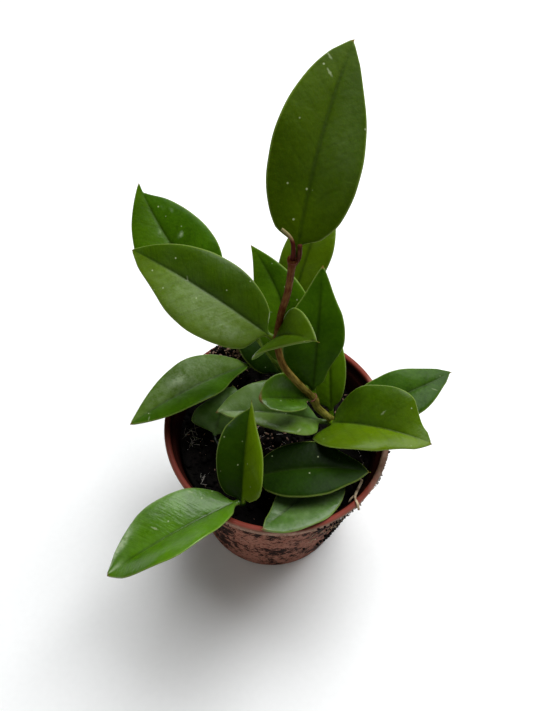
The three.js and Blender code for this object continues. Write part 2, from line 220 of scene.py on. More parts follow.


# %% [markdown]
# ## The pot's plastic
#
# A nursery pot is thin polypropylene, injection moulded and dyed the colour of
# terracotta. The bare plastic has a soft shine. Outside, hard water and dust
# leave a pale pinkish bloom, palest just under the lip, and splashed soil dries
# on it in dark, ragged patches that ran down a little, with thousands of specks
# between them. The lip stays cleaner. Below it the inside is painted darker, as
# shade, the lip at the left is painted in shade too, and a painted shadow line
# lies in the corner under the collar's step.

# %% Pot plastic, with its dust, dried mud and painted shade
def pot_plastic():
    m, out = new_material("terracotta_polypropylene")
    place = add_node(m, "TexCoord")
    outside = add_node(m, "Attribute", attribute_name="outside")
    axes = add_node(m, "SeparateXYZ", {0: place.outputs["Object"]})
    height = axes.outputs[2]
    # Mud patches are 3 to 8 mm across and ran down a little, so height counts less.
    stretched = add_node(m, "Mapping", {"Vector": place.outputs["Object"], "Scale": (1.0, 1.0, 0.75)})
    mud_form = add_node(m, "TexNoise", {"Vector": stretched.outputs[0], "Scale": every(4.5), "Detail": 9.0,
                                        "Roughness": 0.78, "Distortion": 0.4}).outputs["Fac"]
    # More of it stuck high up and on the pot's left, in clouds of 25 mm.
    broad = add_node(m, "TexNoise", {"Vector": place.outputs["Object"], "Scale": every(25), "Detail": 2.0})
    higher = add_node(m, "MapRange", {"Value": height, "From Min": 0.0, "From Max": 0.09, "To Min": -0.04,
                                      "To Max": 0.04}).outputs[0]
    beside = add_node(m, "MapRange", {"Value": axes.outputs[0], "From Min": -0.012, "From Max": -0.038,
                                      "To Max": 0.09}).outputs[0]
    heavier = add_node(m, "Math", {0: broad.outputs["Fac"], 1: 0.5, 2: mud_form},
                       operation="MULTIPLY_ADD").outputs[0]
    heavier = add_node(m, "Math", {0: heavier, 1: higher}, operation="ADD").outputs[0]
    heavier = add_node(m, "Math", {0: heavier, 1: beside}, operation="ADD").outputs[0]
    mud_and_step_shadow = add_node(m, "MapRange", {"Value": heavier, "From Min": 0.768, "From Max": 0.781}).outputs[0]
    # Specks of 0.5 to 1.5 mm lie between the patches.
    fine = add_node(m, "TexNoise", {"Vector": stretched.outputs[0], "Scale": every(1.7), "Detail": 6.0,
                                    "Roughness": 0.65}).outputs["Fac"]
    specks = add_node(m, "MapRange", {"Value": fine, "From Min": 0.55, "From Max": 0.59,
                                      "To Max": 0.85}).outputs[0]
    mud_and_step_shadow = add_node(m, "Math", {0: mud_and_step_shadow, 1: specks}, operation="MAXIMUM").outputs[0]
    # A painted shadow: a dark line in the corner under the collar's step, where the step's shade falls. It
    # joins the mud's mask.
    corner = add_node(m, "MapRange", {"Value": height, "From Min": 0.0863, "From Max": 0.0873}).outputs[0]
    above = add_node(m, "MapRange", {"Value": height, "From Min": 0.0886, "From Max": 0.0892}).outputs[0]
    line = add_node(m, "Math", {0: corner, 1: above}, operation="SUBTRACT").outputs[0]
    mud_and_step_shadow = add_node(m, "Math", {0: mud_and_step_shadow, 1: line}, operation="MAXIMUM").outputs[0]
    # The collar is under the lip's shelter: it gets dust and specks but few patches.
    sheltered = add_node(m, "MapRange", {"Value": above, "To Min": 1.0, "To Max": 0.35}).outputs[0]
    mud_and_step_shadow = add_node(m, "Math", {0: mud_and_step_shadow, 1: sheltered}, operation="MULTIPLY").outputs[0]
    mud_and_step_shadow = add_node(m, "Math", {0: mud_and_step_shadow, 1: outside.outputs["Fac"]}, operation="MULTIPLY").outputs[0]
    # Dust: a pale bloom over the outside in 2 mm mottles, thickest on the collar.
    mottle = add_node(m, "TexNoise", {"Vector": place.outputs["Object"], "Scale": every(2.4), "Detail": 4.0})
    dust = add_node(m, "MapRange", {"Value": mottle.outputs["Fac"], "From Min": 0.3, "From Max": 0.62,
                                    "To Min": 0.0, "To Max": 0.3}).outputs[0]
    dust = add_node(m, "Math", {0: above, 1: 0.6, 2: dust}, operation="MULTIPLY_ADD").outputs[0]
    dust = add_node(m, "Math", {0: dust, 1: outside.outputs["Fac"]}, operation="MULTIPLY",
                    use_clamp=True).outputs[0]
    tone = add_node(m, "TexNoise", {"Vector": place.outputs["Object"], "Scale": every(17), "Detail": 3.0})
    bare = add_node(m, "Mix", {0: tone.outputs["Fac"], 6: srgb("#6c2f25"), 7: srgb("#803c30")},
                    data_type="RGBA")
    # Painted shade: below the lip the inside is painted darker than the lip.
    pot_painted_shade = add_node(m, "MapRange", {"Value": height, "From Min": 0.0955, "From Max": 0.0977,
                                      "To Min": 0.92, "To Max": 0.0}).outputs[0]
    # Painted shade: the lip at the left is painted darker too.
    left_lip_painted_shade = add_node(m, "MapRange", {"Value": axes.outputs[0], "From Min": -0.036, "From Max": -0.052,
                                        "To Max": 0.6}).outputs[0]
    pot_painted_shade = add_node(m, "Math", {0: pot_painted_shade, 1: left_lip_painted_shade}, operation="MAXIMUM").outputs[0]
    bare = add_node(m, "Mix", {0: pot_painted_shade, 6: bare.outputs[2], 7: srgb("#1b0a08")}, data_type="RGBA")
    weathered = add_node(m, "Mix", {0: outside.outputs["Fac"], 6: bare.outputs[2], 7: srgb("#855041")},
                         data_type="RGBA")
    # Grey dirt is smeared on the lip at the right.
    rightmost = add_node(m, "MapRange", {"Value": axes.outputs[0], "From Min": 0.0435,
                                         "From Max": 0.049}).outputs[0]
    on_lip = add_node(m, "MapRange", {"Value": height, "From Min": 0.0953, "From Max": 0.0958}).outputs[0]
    smear = add_node(m, "Math", {0: rightmost, 1: on_lip}, operation="MULTIPLY").outputs[0]
    smear = add_node(m, "Math", {0: smear, 1: mottle.outputs["Fac"]}, operation="MULTIPLY").outputs[0]
    dust = add_node(m, "Math", {0: smear, 1: 1.3, 2: dust}, operation="MULTIPLY_ADD",
                    use_clamp=True).outputs[0]
    dusty = add_node(m, "Mix", {0: dust, 6: weathered.outputs[2], 7: srgb("#ae8e7b")}, data_type="RGBA")
    colour = add_node(m, "Mix", {0: mud_and_step_shadow, 6: dusty.outputs[2], 7: srgb("#1f0d07")}, data_type="RGBA")
    rough = add_node(m, "MapRange", {"Value": outside.outputs["Fac"], "To Min": 0.36, "To Max": 0.78})
    relief = add_node(m, "Math", {0: mud_and_step_shadow, 1: mottle.outputs["Fac"]}, operation="ADD").outputs[0]
    bump = add_node(m, "Bump", {"Height": relief, "Strength": 0.45, "Distance": 0.0006})
    shader = add_node(m, "BsdfPrincipled", {"Base Color": colour.outputs[2], "Roughness": rough.outputs[0],
                                            "Normal": bump.outputs[0], "IOR": 1.49,
                                            "Specular IOR Level": 0.04})
    m.node_tree.links.new(shader.outputs[0], out.inputs[0])
    return m


pot_finish = pot_plastic()
print("made", pot_finish.name)

# %% [markdown]
# ## The pot
#
# The pot is a thin-walled body of revolution: a tapered wall, a step out to the
# collar that gives a hand its grip, and a rolled lip. The profile is turned
# round the axis like clay on a wheel. The drain holes are cut from the floor
# with a Boolean, as the mould's pins would leave them.

# %% Pot profile and mesh
RIM_RADIUS, FOOT_RADIUS, WALL = 55.0, 42.0, 1.4
COLLAR_FOOT, COLLAR_STEP, LIP_OVERHANG = 90.5, 1.8, 1.1
POT_SIDES = 144
DRAIN_HOLES, DRAIN_RADIUS, DRAIN_CIRCLE = 8, 3.5, 29


def wall_radius(z):
    """Outer radius of the pot's wall below the collar."""
    top = RIM_RADIUS - LIP_OVERHANG - COLLAR_STEP - 0.4
    return FOOT_RADIUS + (top - FOOT_RADIUS) * z / COLLAR_FOOT


collar = RIM_RADIUS - 1.4
# (radius, height, how much outside it is)
POT_PROFILE = [
    (0, 0, 1), (FOOT_RADIUS - 1.2, 0, 1), (FOOT_RADIUS - 0.5, 0.15, 1), (wall_radius(0.8), 0.8, 1),
    *[(wall_radius(z), z, 1) for z in range(4, 88, 4)],
    (wall_radius(87.8), 87.8, 1), (collar - 0.8, 88.4, 1), (collar - 0.2, 88.9, 1), (collar, 89.8, 1),
    (collar + 0.1, 92.5, 1), (collar + 0.2, 94, 1), (collar + 0.3, 95.2, 1), (collar + 0.8, 95.6, 1),
    (RIM_RADIUS - 0.1, 96.0, 1), (RIM_RADIUS, 96.5, 0.9), (RIM_RADIUS, 97.2, 0.7),
    (RIM_RADIUS - 0.25, 97.8, 0.25), (RIM_RADIUS - 0.7, 98, 0), (RIM_RADIUS - 1.6, 98, 0),
    (RIM_RADIUS - 2.3, 97.8, 0), (RIM_RADIUS - 2.7, 97.2, 0),
    (collar - WALL - 0.1, 95, 0), (collar - WALL - 0.2, 91.9, 0),
    (wall_radius(COLLAR_FOOT) - WALL + 0.3, 90.8, 0), (wall_radius(COLLAR_FOOT) - WALL, 90.3, 0),
    *[(wall_radius(z) - WALL, z, 0) for z in range(84, 2, -13)], (wall_radius(2) - WALL, 2, 0), (0, 2, 0),
]


def turned(name, profile, sides, material, attribute=None):
    """A body of revolution from (radius, height, value) points. The value can be kept as an attribute."""
    vertices, values, faces, rows = [], [], [], []
    for radius, height, value in profile:
        count = 1 if radius == 0 else sides
        rows.append(range(len(vertices), len(vertices) + count))
        for k in range(count):
            angle = 2 * math.pi * k / sides
            vertices.append((radius * math.cos(angle), radius * math.sin(angle), height))
            values.append(value)
    for low, high in zip(rows, rows[1:]):
        for k in range(sides):
            after = (k + 1) % sides
            corners = [low[k % len(low)], low[after % len(low)],
                       high[after % len(high)], high[k % len(high)]]
            faces.append(tuple(dict.fromkeys(corners)))
    made = mesh_piece(name, vertices, faces, material)
    if attribute:
        made.data.attributes.new(attribute, "FLOAT", "POINT").data.foreach_set("value", values)
    return made


pot = turned("pot_fine", POT_PROFILE, POT_SIDES, pot_finish, "outside")
for k in range(DRAIN_HOLES):
    bpy.ops.mesh.primitive_cylinder_add(vertices=32, radius=DRAIN_RADIUS / 1000, depth=0.006)
    angle, out = 2 * math.pi * k / DRAIN_HOLES, DRAIN_CIRCLE / 1000
    pin = bpy.context.object
    pin.location = (out * math.cos(angle), out * math.sin(angle), 0.0)
    cut = pot.modifiers.new("drain", "BOOLEAN")
    cut.operation, cut.solver, cut.object = "DIFFERENCE", "EXACT", pin
    bpy.context.view_layer.objects.active = pot
    bpy.ops.object.modifier_apply(modifier="drain")
    bpy.data.objects.remove(pin)
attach(pot, "root")
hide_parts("pot")
print("pot:", len(pot.data.polygons), "faces")

# %% [markdown]
# ## Potting soil
#
# The mix is damp peat and coir with bark. It drinks light, so it is nearly
# black, and what the eye catches is the loose stuff on top: beige wood fibres,
# pinkish bark flecks and thin white roots.

# %% Soil, bark and root finishes
def damp_peat():
    m, out = new_material("damp_peat")
    place = add_node(m, "TexCoord")
    grain = add_node(m, "TexNoise", {"Vector": place.outputs["Object"], "Scale": 700.0, "Detail": 8.0,
                                     "Roughness": 0.7})
    patch = add_node(m, "TexNoise", {"Vector": place.outputs["Object"], "Scale": 70.0, "Detail": 3.0})
    mixed = add_node(m, "Math", {0: grain.outputs["Fac"], 1: patch.outputs["Fac"]}, operation="MULTIPLY")
    ramp = set_stops(add_node(m, "ValToRGB", {"Fac": mixed.outputs[0]}),
                     [(0.12, srgb("#060504")), (0.3, srgb("#0f0b09")), (0.5, srgb("#2a1f19"))])
    bump = add_node(m, "Bump", {"Height": grain.outputs["Fac"], "Strength": 0.9, "Distance": 0.0008})
    shader = add_node(m, "BsdfPrincipled", {"Base Color": ramp.outputs[0], "Roughness": 0.85,
                                            "Normal": bump.outputs[0], "Specular IOR Level": 0.1})
    m.node_tree.links.new(shader.outputs[0], out.inputs[0])
    return m


def fibre(name, dark, light, scale):
    """A dry plant fibre, streaked lighter and darker every few millimetres."""
    m, out = new_material(name)
    place = add_node(m, "TexCoord")
    streak = add_node(m, "TexNoise", {"Vector": place.outputs["Object"], "Scale": scale, "Detail": 5.0})
    shade = add_node(m, "MapRange", {"Value": streak.outputs["Fac"], "From Min": 0.35, "From Max": 0.65})
    colour = add_node(m, "Mix", {0: shade.outputs[0], 6: srgb(dark), 7: srgb(light)}, data_type="RGBA")
    bump = add_node(m, "Bump", {"Height": streak.outputs["Fac"], "Strength": 0.5, "Distance": 0.0003})
    shader = add_node(m, "BsdfPrincipled", {"Base Color": colour.outputs[2], "Roughness": 0.8,
                                            "Normal": bump.outputs[0]})
    m.node_tree.links.new(shader.outputs[0], out.inputs[0])
    return m


peat = damp_peat()
bark_chip = fibre("composted_bark", "#4a342a", "#a5826c", 500.0)
pale_root = fibre("dry_root", "#6a5138", "#c8b292", 300.0)
white_root = fibre("white_root", "#7d7468", "#dcd6cb", 300.0)
grey_grit = fibre("pumice_grit", "#6f6762", "#c9c1ba", 900.0)
print("made", peat.name, bark_chip.name, pale_root.name, grey_grit.name)

# %% [markdown]
# ## The soil's surface
#
# The soil is one body that fills the pot, and its top is lumpy: higher behind,
# heaped near the rim at the back left. The CAD model gives the broad form by a
# formula, so the same formula is used here, and finer noise is added to it.

# %% Soil body
SOIL_LEVEL, HEAP_X, HEAP_Y, HEAP_HEIGHT, HEAP_SPREAD = 82, -24, 38, 6, 13
SOIL_SIDES, SOIL_CIRCLES = 200, 90


def soil_height(x, y):
    """Height of the soil in mm, as in the CAD model."""
    lumps = (math.sin(x * 0.31 + 1.7) * math.cos(y * 0.27 - 0.6)
             + 0.6 * math.sin(x * 0.13 - y * 0.41) + 0.4 * math.cos(x * 0.67 + y * 0.53))
    slope = (y - 3 * x) / RIM_RADIUS
    away = math.hypot(x - HEAP_X, y - HEAP_Y) / HEAP_SPREAD
    return SOIL_LEVEL + slope + 0.8 * lumps + HEAP_HEIGHT * math.exp(-away * away)


def fine_soil_height(x, y):
    """The same, with crumbs of 6, 3 and 1.5 mm in it."""
    rough = sum(size * noise.noise(Vector((x, y, 3.0)) / (4 * size)) for size in (1.5, 0.7, 0.4))
    return soil_height(x, y) + 1.2 * rough


soil_edge = wall_radius(78) - WALL - 0.3
soil_rings = [(0, 2.3, 0), (wall_radius(2.3) - WALL - 0.6, 2.3, 0), (soil_edge, 78, 0)]
soil_rings += [((soil_edge - 0.4) * (i / SOIL_CIRCLES) ** 0.8, SOIL_LEVEL, 0)
               for i in range(SOIL_CIRCLES, -1, -1)]
soil = turned("soil_fine", soil_rings, SOIL_SIDES, peat)
for v in soil.data.vertices:
    if v.co.z > 0.081:
        v.co.z = fine_soil_height(v.co.x * 1000, v.co.y * 1000) / 1000
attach(soil, "root")
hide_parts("soil")
print("soil:", len(soil.data.polygons), "faces")

# %% [markdown]
# ## Loose crumbs, bark flecks and root threads
#
# Thousands of small bits lie on the soil. Each is a copy of a small lump, a
# splinter or a thread, turned and sized by a seeded draw, so the same pot comes
# out every time. Copies of a kind are joined in one mesh, which stays light.

# %% Crumbs and splinters
draw = random.Random(5)
STEM_FEET = [(27, 6), (-10, -28), (7, 28), (34, -14)]


def soil_spot(radius=47.0, clear=3.5):
    """A random place on the soil, in mm, clear of the stems."""
    while True:
        angle, out = draw.uniform(0, 2 * math.pi), radius * math.sqrt(draw.random())
        x, y = out * math.cos(angle), out * math.sin(angle)
        if all(math.hypot(x - a, y - b) > clear for a, b in STEM_FEET):
            return x, y


def lump_mesh(divisions):
    """Vertices and faces of a unit ball of triangles."""
    bpy.ops.mesh.primitive_ico_sphere_add(subdivisions=divisions, radius=1)
    ball = bpy.context.object
    vertices = np.array([v.co for v in ball.data.vertices])
    faces = [tuple(p.vertices) for p in ball.data.polygons]
    bpy.data.objects.remove(ball)
    return vertices, faces


def scattered(name, places, lump, material):
    """One mesh of many lumps: each place is (centre in mm, three sizes, three turns)."""
    base, base_faces = lump
    vertices, faces = [], []
    for centre, sizes, turns in places:
        wobble = np.array([1 + 0.35 * noise.noise(Vector(v) * 1.3 + Vector(centre)) for v in base])
        spin = np.array(Euler(turns).to_matrix())
        body = (base * wobble[:, None] * sizes) @ spin.T + centre
        faces += [tuple(i + len(vertices) for i in f) for f in base_faces]
        vertices += body.tolist()
    made = mesh_piece(name, vertices, faces, material)
    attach(made, "root")
    return made


def lying(size, flat, sink):
    """A draw of one lump's centre, sizes and turns on the soil."""
    x, y = soil_spot()
    centre = (x, y, fine_soil_height(x, y) + size * sink)
    sizes = (size, size * draw.uniform(0.6, 0.9), size * flat)
    return centre, sizes, (draw.uniform(-0.5, 0.5), draw.uniform(-0.5, 0.5), draw.uniform(0, 6.3))


small_lump, round_lump = lump_mesh(1), lump_mesh(2)
crumbs = scattered("soil_crumbs", [lying(draw.uniform(0.35, 0.9), 0.7, 0.3) for _ in range(1500)],
                   small_lump, peat)
clods = scattered("soil_clods", [lying(draw.uniform(1.0, 2.4), 0.6, 0.2) for _ in range(190)],
                  round_lump, peat)


def splinter():
    """A bark splinter: long, thin and almost flat."""
    x, y = soil_spot()
    size = draw.uniform(0.5, 1.5) * draw.uniform(0.5, 1.3)
    centre = (x, y, fine_soil_height(x, y) + 0.35 * size)
    return centre, (size, size * 0.35, size * 0.16), (draw.uniform(-0.6, 0.6), draw.uniform(-0.5, 0.5),
                                                      draw.uniform(0, 6.3))


def chip(cx, cy, spread):
    """A wood chip of 1 to 2.5 mm near a place on the soil."""
    x, y = draw.gauss(cx, spread), draw.gauss(cy, spread)
    size = draw.uniform(0.5, 1.3)
    centre = (x, y, fine_soil_height(x, y) + 0.5 * size)
    return centre, (size, size * 0.5, size * 0.35), (draw.uniform(-0.6, 0.6), draw.uniform(-0.5, 0.5),
                                                     draw.uniform(0, 6.3))


chips = [splinter() for _ in range(150)]
chips += [chip(-3, -3, 6) for _ in range(45)]
chips += [chip(-28, 40, 5) for _ in range(120)]
flecks = scattered("bark_flecks", chips, small_lump, bark_chip)
print("crumbs:", len(crumbs.data.polygons), "clods:", len(clods.data.polygons),
      "flecks:", len(flecks.data.polygons))

# %% [markdown]
# Root threads are thin tubes that wander over the soil. Some lie at the left
# wall, where the soil is wet, some in the middle, and one long root hangs over
# the rim at the front right.

# %% Root threads
def thread_path(x, y, length, heading):
    """A wandering path on the soil, in mm."""
    points = []
    for _ in range(max(3, int(length / 2.5))):
        points.append((x, y, fine_soil_height(x, y) + draw.uniform(0.1, 0.7)))
        heading += draw.uniform(-0.7, 0.7)
        x, y = x + 2.5 * math.cos(heading), y + 2.5 * math.sin(heading)
        if math.hypot(x, y) > 47.5:
            break
    return points


def joined_tubes(name, runs, material):
    """One mesh of several thin tubes: each run is (points, radius at start, radius at end)."""
    vertices, faces = [], []
    for points, thick, thin in runs:
        if len(points) < 3:
            continue
        path = smooth_path(points, 0.8)
        rings = tube_rings(path, np.linspace(thick, thin, len(path)), 6)
        faces += loft_faces(len(rings), 6, len(vertices))
        vertices += rings.reshape(-1, 3).tolist()
    made = mesh_piece(name, vertices, faces, material)
    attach(made, "root")
    return made


# Where the threads lie: (x, y, spread, how many).
THREAD_PATCHES = [(-42, -5, 5, 16), (-33, -29, 4, 6), (-4, -2, 12, 12), (-27, 39, 8, 18),
                  (42, -14, 7, 12), (0, 0, 44, 14)]
threads = []
for cx, cy, spread, count in THREAD_PATCHES:
    for _ in range(count):
        x, y = draw.gauss(cx, spread / 2), draw.gauss(cy, spread / 2)
        if math.hypot(x, y) < 46:
            path = thread_path(x, y, draw.uniform(5, 13), draw.uniform(0, 6.3))
            threads.append((path, draw.uniform(0.07, 0.15), 0.05))
roots = joined_tubes("root_threads", threads, white_root)
print("threads:", len(threads))

# %% [markdown]
# One long root came up between the soil and the wall at the front right and has
# dried over the lip. Grit and bits of root stuck to the lip and the wall near it
# when the pot was watered.

# %% The root over the lip, and what stuck beside it
OVER_LIP = [(42.5, -19, 80.5), (42.8, -21.8, 86), (41, -26.5, 90.5), (38.6, -32.4, 93.5),
            (38.2, -35.6, 96.6), (38.6, -38, 98.7), (39.2, -39.3, 98), (39.8, -40, 96)]
BRANCH = [(38.6, -32.4, 93.5), (36.8, -34, 93.2), (35.6, -35.6, 92)]
rim_root = joined_tubes("root_over_lip", [(OVER_LIP, 0.75, 0.6), (BRANCH, 0.6, 0.35)], pale_root)


def stuck(degrees, spread, low, high, size):
    """A crumb on the pot's outside: the wall and collar slope out with height."""
    angle = math.radians(draw.gauss(degrees, spread))
    z = draw.uniform(low, high)
    out = (wall_radius(z) if z < 89.5 else collar if z < 95.5 else RIM_RADIUS) + 0.3 * size
    big = size * draw.uniform(0.6, 1.3)
    turns = (draw.uniform(0, 3), draw.uniform(0, 3), angle)
    sizes = (big * 0.8, big * draw.uniform(0.7, 1.2), big * 0.7)
    return (out * math.cos(angle), out * math.sin(angle), z), sizes, turns


grit = scattered("lip_grit", [stuck(-28, 1.6, 95.5, 98, 0.75) for _ in range(14)]
                 + [stuck(-20, 6, 95.6, 98, 0.28) for _ in range(40)]
                 + [stuck(-50, 6, 90, 97, 0.55) for _ in range(30)], small_lump, grey_grit)
dirt = scattered("wall_crumbs", [stuck(-11, 0.3, 97, 97.8, 0.8)]
                 + [stuck(-50, 7, 84, 96, 0.8) for _ in range(80)]
                 + [stuck(-37, 9, 20, 92, 0.95) for _ in range(190)]
                 + [stuck(-130, 12, 50, 92, 0.4) for _ in range(80)], small_lump, peat)


def wall_thread(degrees, z):
    """A short dry root stuck to the outer wall."""
    points = []
    heading = draw.uniform(-0.8, 0.8) + draw.choice((0, math.pi))
    for _ in range(draw.randint(4, 7)):
        angle, out = math.radians(degrees), (wall_radius(z) if z < 88 else collar) + draw.uniform(0.1, 1.2)
        points.append((out * math.cos(angle), out * math.sin(angle), z))
        heading += draw.uniform(-0.6, 0.6)
        degrees, z = degrees + 1.5 * math.cos(heading), min(95, z + 1.2 * math.sin(heading))
    return points


wall_runs = [(wall_thread(draw.gauss(-41, 9), draw.uniform(55, 94)), draw.uniform(0.15, 0.4), 0.12)
             for _ in range(44)]
wall_roots = joined_tubes("wall_roots", wall_runs, pale_root)
print("stuck outside:", len(wall_runs), "roots,", len(grit.data.polygons) + len(dirt.data.polygons),
      "faces of crumbs")

# %% [markdown]
# The heap at the back left leans on the wall up to the lip: clods below, with
# bark chips on top of them and a few on the lip itself.

# %% The heap against the wall
HEAP_INNER, HEAP_OUTER = 43.5, 50.3


def heaped(size, above):
    """A lump in the heap's wedge: it climbs from the soil to the lip as it nears the wall."""
    angle, out = math.radians(draw.gauss(125, 7)), draw.uniform(HEAP_INNER, HEAP_OUTER)
    x, y = out * math.cos(angle), out * math.sin(angle)
    low, top = fine_soil_height(x, y), 89.5 + 1.25 * (out - HEAP_INNER)
    z = draw.uniform(low, top) if above == 0 else top + above
    big = size * draw.uniform(0.6, 1.3)
    turns = (draw.uniform(-0.6, 0.6), draw.uniform(-0.6, 0.6), draw.uniform(0, 6.3))
    return (x, y, z), (big, big * draw.uniform(0.45, 0.9), big * draw.uniform(0.3, 0.7)), turns


def on_lip(size):
    """A chip that lies on the lip's top."""
    angle, out = math.radians(draw.gauss(130, 6)), draw.uniform(51.3, 54.0)
    turns = (draw.uniform(-0.2, 0.2), draw.uniform(-0.2, 0.2), draw.uniform(0, 6.3))
    return (out * math.cos(angle), out * math.sin(angle), 98.1), (size, size * 0.6, size * 0.35), turns


heap = scattered("heap_clods", [heaped(1.9, 0) for _ in range(170)]
                 + [on_lip(draw.uniform(0.5, 1.1)) for _ in range(90)], round_lump, peat)
heap_chips = scattered("heap_chips", [heaped(1.0, 0.5) for _ in range(110)]
                       + [on_lip(draw.uniform(0.4, 1.1)) for _ in range(40)], small_lump, bark_chip)
print("heap:", len(heap.data.polygons), "clod faces,", len(heap_chips.data.polygons), "chip faces")

# %% [markdown]
# ## The stems' skin
#
# A hoya's stem is green at first, flushes reddish purple near a growing tip and
# turns brown as a thin cork forms, with a silvery outer skin that splits along
# the stem. One recipe serves the brown and the green stems with other colours.

# %% Stem finishes
def stem_skin(name, shade, light, flush=None):
    """A stem's skin. flush is (shade, light, height where it starts, height where it is full), in m."""
    m, out = new_material(name)
    place = add_node(m, "TexCoord")
    # Streaks run along the stem, 0.6 mm wide and 4 mm long, in the grain that the mesh carries.
    grain = add_node(m, "Attribute", attribute_name="grain_mm")
    streak = add_node(m, "TexNoise", {"Vector": grain.outputs["Vector"], "Scale": 1.6, "Detail": 5.0})
    blotch = add_node(m, "TexNoise", {"Vector": place.outputs["Object"], "Scale": 160.0, "Detail": 3.0})
    both = add_node(m, "Math", {0: streak.outputs["Fac"], 1: blotch.outputs["Fac"]}, operation="ADD")
    mask = add_node(m, "MapRange", {"Value": both.outputs[0], "From Min": 0.85, "From Max": 1.2})
    colour = add_node(m, "Mix", {0: mask.outputs[0], 6: srgb(shade), 7: srgb(light)}, data_type="RGBA")
    if flush:
        flush_shade, flush_light, start, full = flush
        height = add_node(m, "SeparateXYZ", {0: place.outputs["Object"]})
        near_tip = add_node(m, "MapRange", {"Value": height.outputs[2], "From Min": start,
                                            "From Max": full})
        flushed = add_node(m, "Mix", {0: mask.outputs[0], 6: srgb(flush_shade), 7: srgb(flush_light)},
                           data_type="RGBA")
        colour = add_node(m, "Mix", {0: near_tip.outputs[0], 6: colour.outputs[2], 7: flushed.outputs[2]},
                          data_type="RGBA")
    bump = add_node(m, "Bump", {"Height": both.outputs[0], "Strength": 0.5, "Distance": 0.0004})
    shader = add_node(m, "BsdfPrincipled", {"Base Color": colour.outputs[2], "Roughness": 0.65,
                                            "Normal": bump.outputs[0], "Specular IOR Level": 0.05})
    m.node_tree.links.new(shader.outputs[0], out.inputs[0])
    return m


corky_stem = stem_skin("corky_stem", "#4a4a12", "#827c36", ("#50260f", "#6c4a26", 0.104, 0.165))
soft_stem = stem_skin("green_stem", "#3d5a12", "#7c9438")
flushed_stalk = stem_skin("flushed_stalk", "#36140c", "#6a4028")
dried_tip = stem_skin("dried_tip", "#3a120c", "#582416", ("#7f7650", "#7f7650", 0.2184, 0.2202))
node_cork = stem_skin("node_cork", "#66382c", "#946458")
print("made", corky_stem.name, soft_stem.name, flushed_stalk.name, dried_tip.name)

# %% [markdown]
# ## The stems
#
# Each stem runs through listed points, swells at its nodes and is not quite
# round. The points are the CAD model's, but for the main stem's upper part
# and the two ends on top of it, which lie where the photo has them.

# %% Stem shapes
STEMS = {
    "stem_main": ([(27, 6, 50), (27, 6, 84), (27, 3, 97), (18, 3, 110), (16, 4, 115), (7, 4, 129),
                   (0, 5, 141), (-3, 9, 152), (-2.3, 9.4, 169), (-0.4, 6.2, 186),
                   (0.4, 0.2, 208), (0.5, 0, 211.3)],
                  (2.4, 1.3), (97, 115, 152, 211), corky_stem, "woody_stem"),
    "stem_side": ([(18, 3, 110), (13, 9, 113), (9, 15, 117), (5, 31, 124)],
                  (1.3, 1.2), (117,), soft_stem, "green_stem"),
    "stem_front": ([(-10, -28, 50), (-10, -28, 82), (-11, -33, 91), (-12.6, -38.5, 95), (-14, -42.5, 97)],
                   (1.8, 1.2), (91, 96), corky_stem, "woody_stem"),
    "stem_back": ([(8, 28, 52), (7, 28, 86), (2, 26, 98), (-7, 26, 118), (-17, 33, 127), (-27, 42, 131)],
                  (1.7, 1.2), (92, 98), soft_stem, "green_stem"),
    "stem_right": ([(34, -14, 52), (34, -14, 82), (33, -16, 90)], (1.7, 1.5), (), corky_stem, "woody_stem"),
    "petiole_stub": ([(1.4, -0.2, 209), (2.3, -0.3, 211.5), (2.6, -0.2, 213.5), (2.5, 0.2, 216),
                      (2.4, 0.5, 217.3)], (0.75, 0.8), (), flushed_stalk, "red_stem"),
    "withered_tip": ([(0.5, -0.1, 209), (0.5, 0, 213), (0.4, 0.3, 215.7), (-0.1, 1, 218), (-0.9, 2, 219),
                      (-2.4, 3, 219.9), (-3.9, 4, 220.4)], (1.15, 0.55), (), dried_tip, "dry_tip"),
}
STEM_STEP = 0.7


def stem_piece(node, points, ends, nodes, material, slot_name):
    path = smooth_path(points, STEM_STEP)
    along = np.linspace(0, 1, len(path))
    swelling = np.zeros(len(path))
    for z in nodes:
        swelling = np.maximum(swelling, 0.6 * np.exp(-((path[:, 2] - z) / 2.6) ** 2))
    radii = ends[0] + (ends[1] - ends[0]) * along ** 0.5 + swelling
    around = 18
    angle = np.linspace(0, 2 * math.pi, around, endpoint=False)
    uneven = np.array([[1 + 0.05 * noise.noise(Vector((2 * math.cos(a), 2 * math.sin(a), p[2] * 0.25)))
                        for a in angle] for p in path])
    made = tube(node + "_fine", path, radii[:, None] * uneven, around, material)
    grain = [(1.5 * math.cos(a), 1.5 * math.sin(a), i * STEM_STEP / 6)
             for i in range(len(path)) for a in angle]
    made.data.attributes.new("grain_mm", "FLOAT_VECTOR", "POINT").data.foreach_set("vector", np.ravel(grain))
    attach(made, "root")
    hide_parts(node)


for node, facts in STEMS.items():
    stem_piece(node, *facts)
print("stems and stalks:", len(STEMS))

# %% [markdown]
# Where a leaf pair stands, an old leaf base has left a thin raised ring of pale
# pinkish cork round the stem.

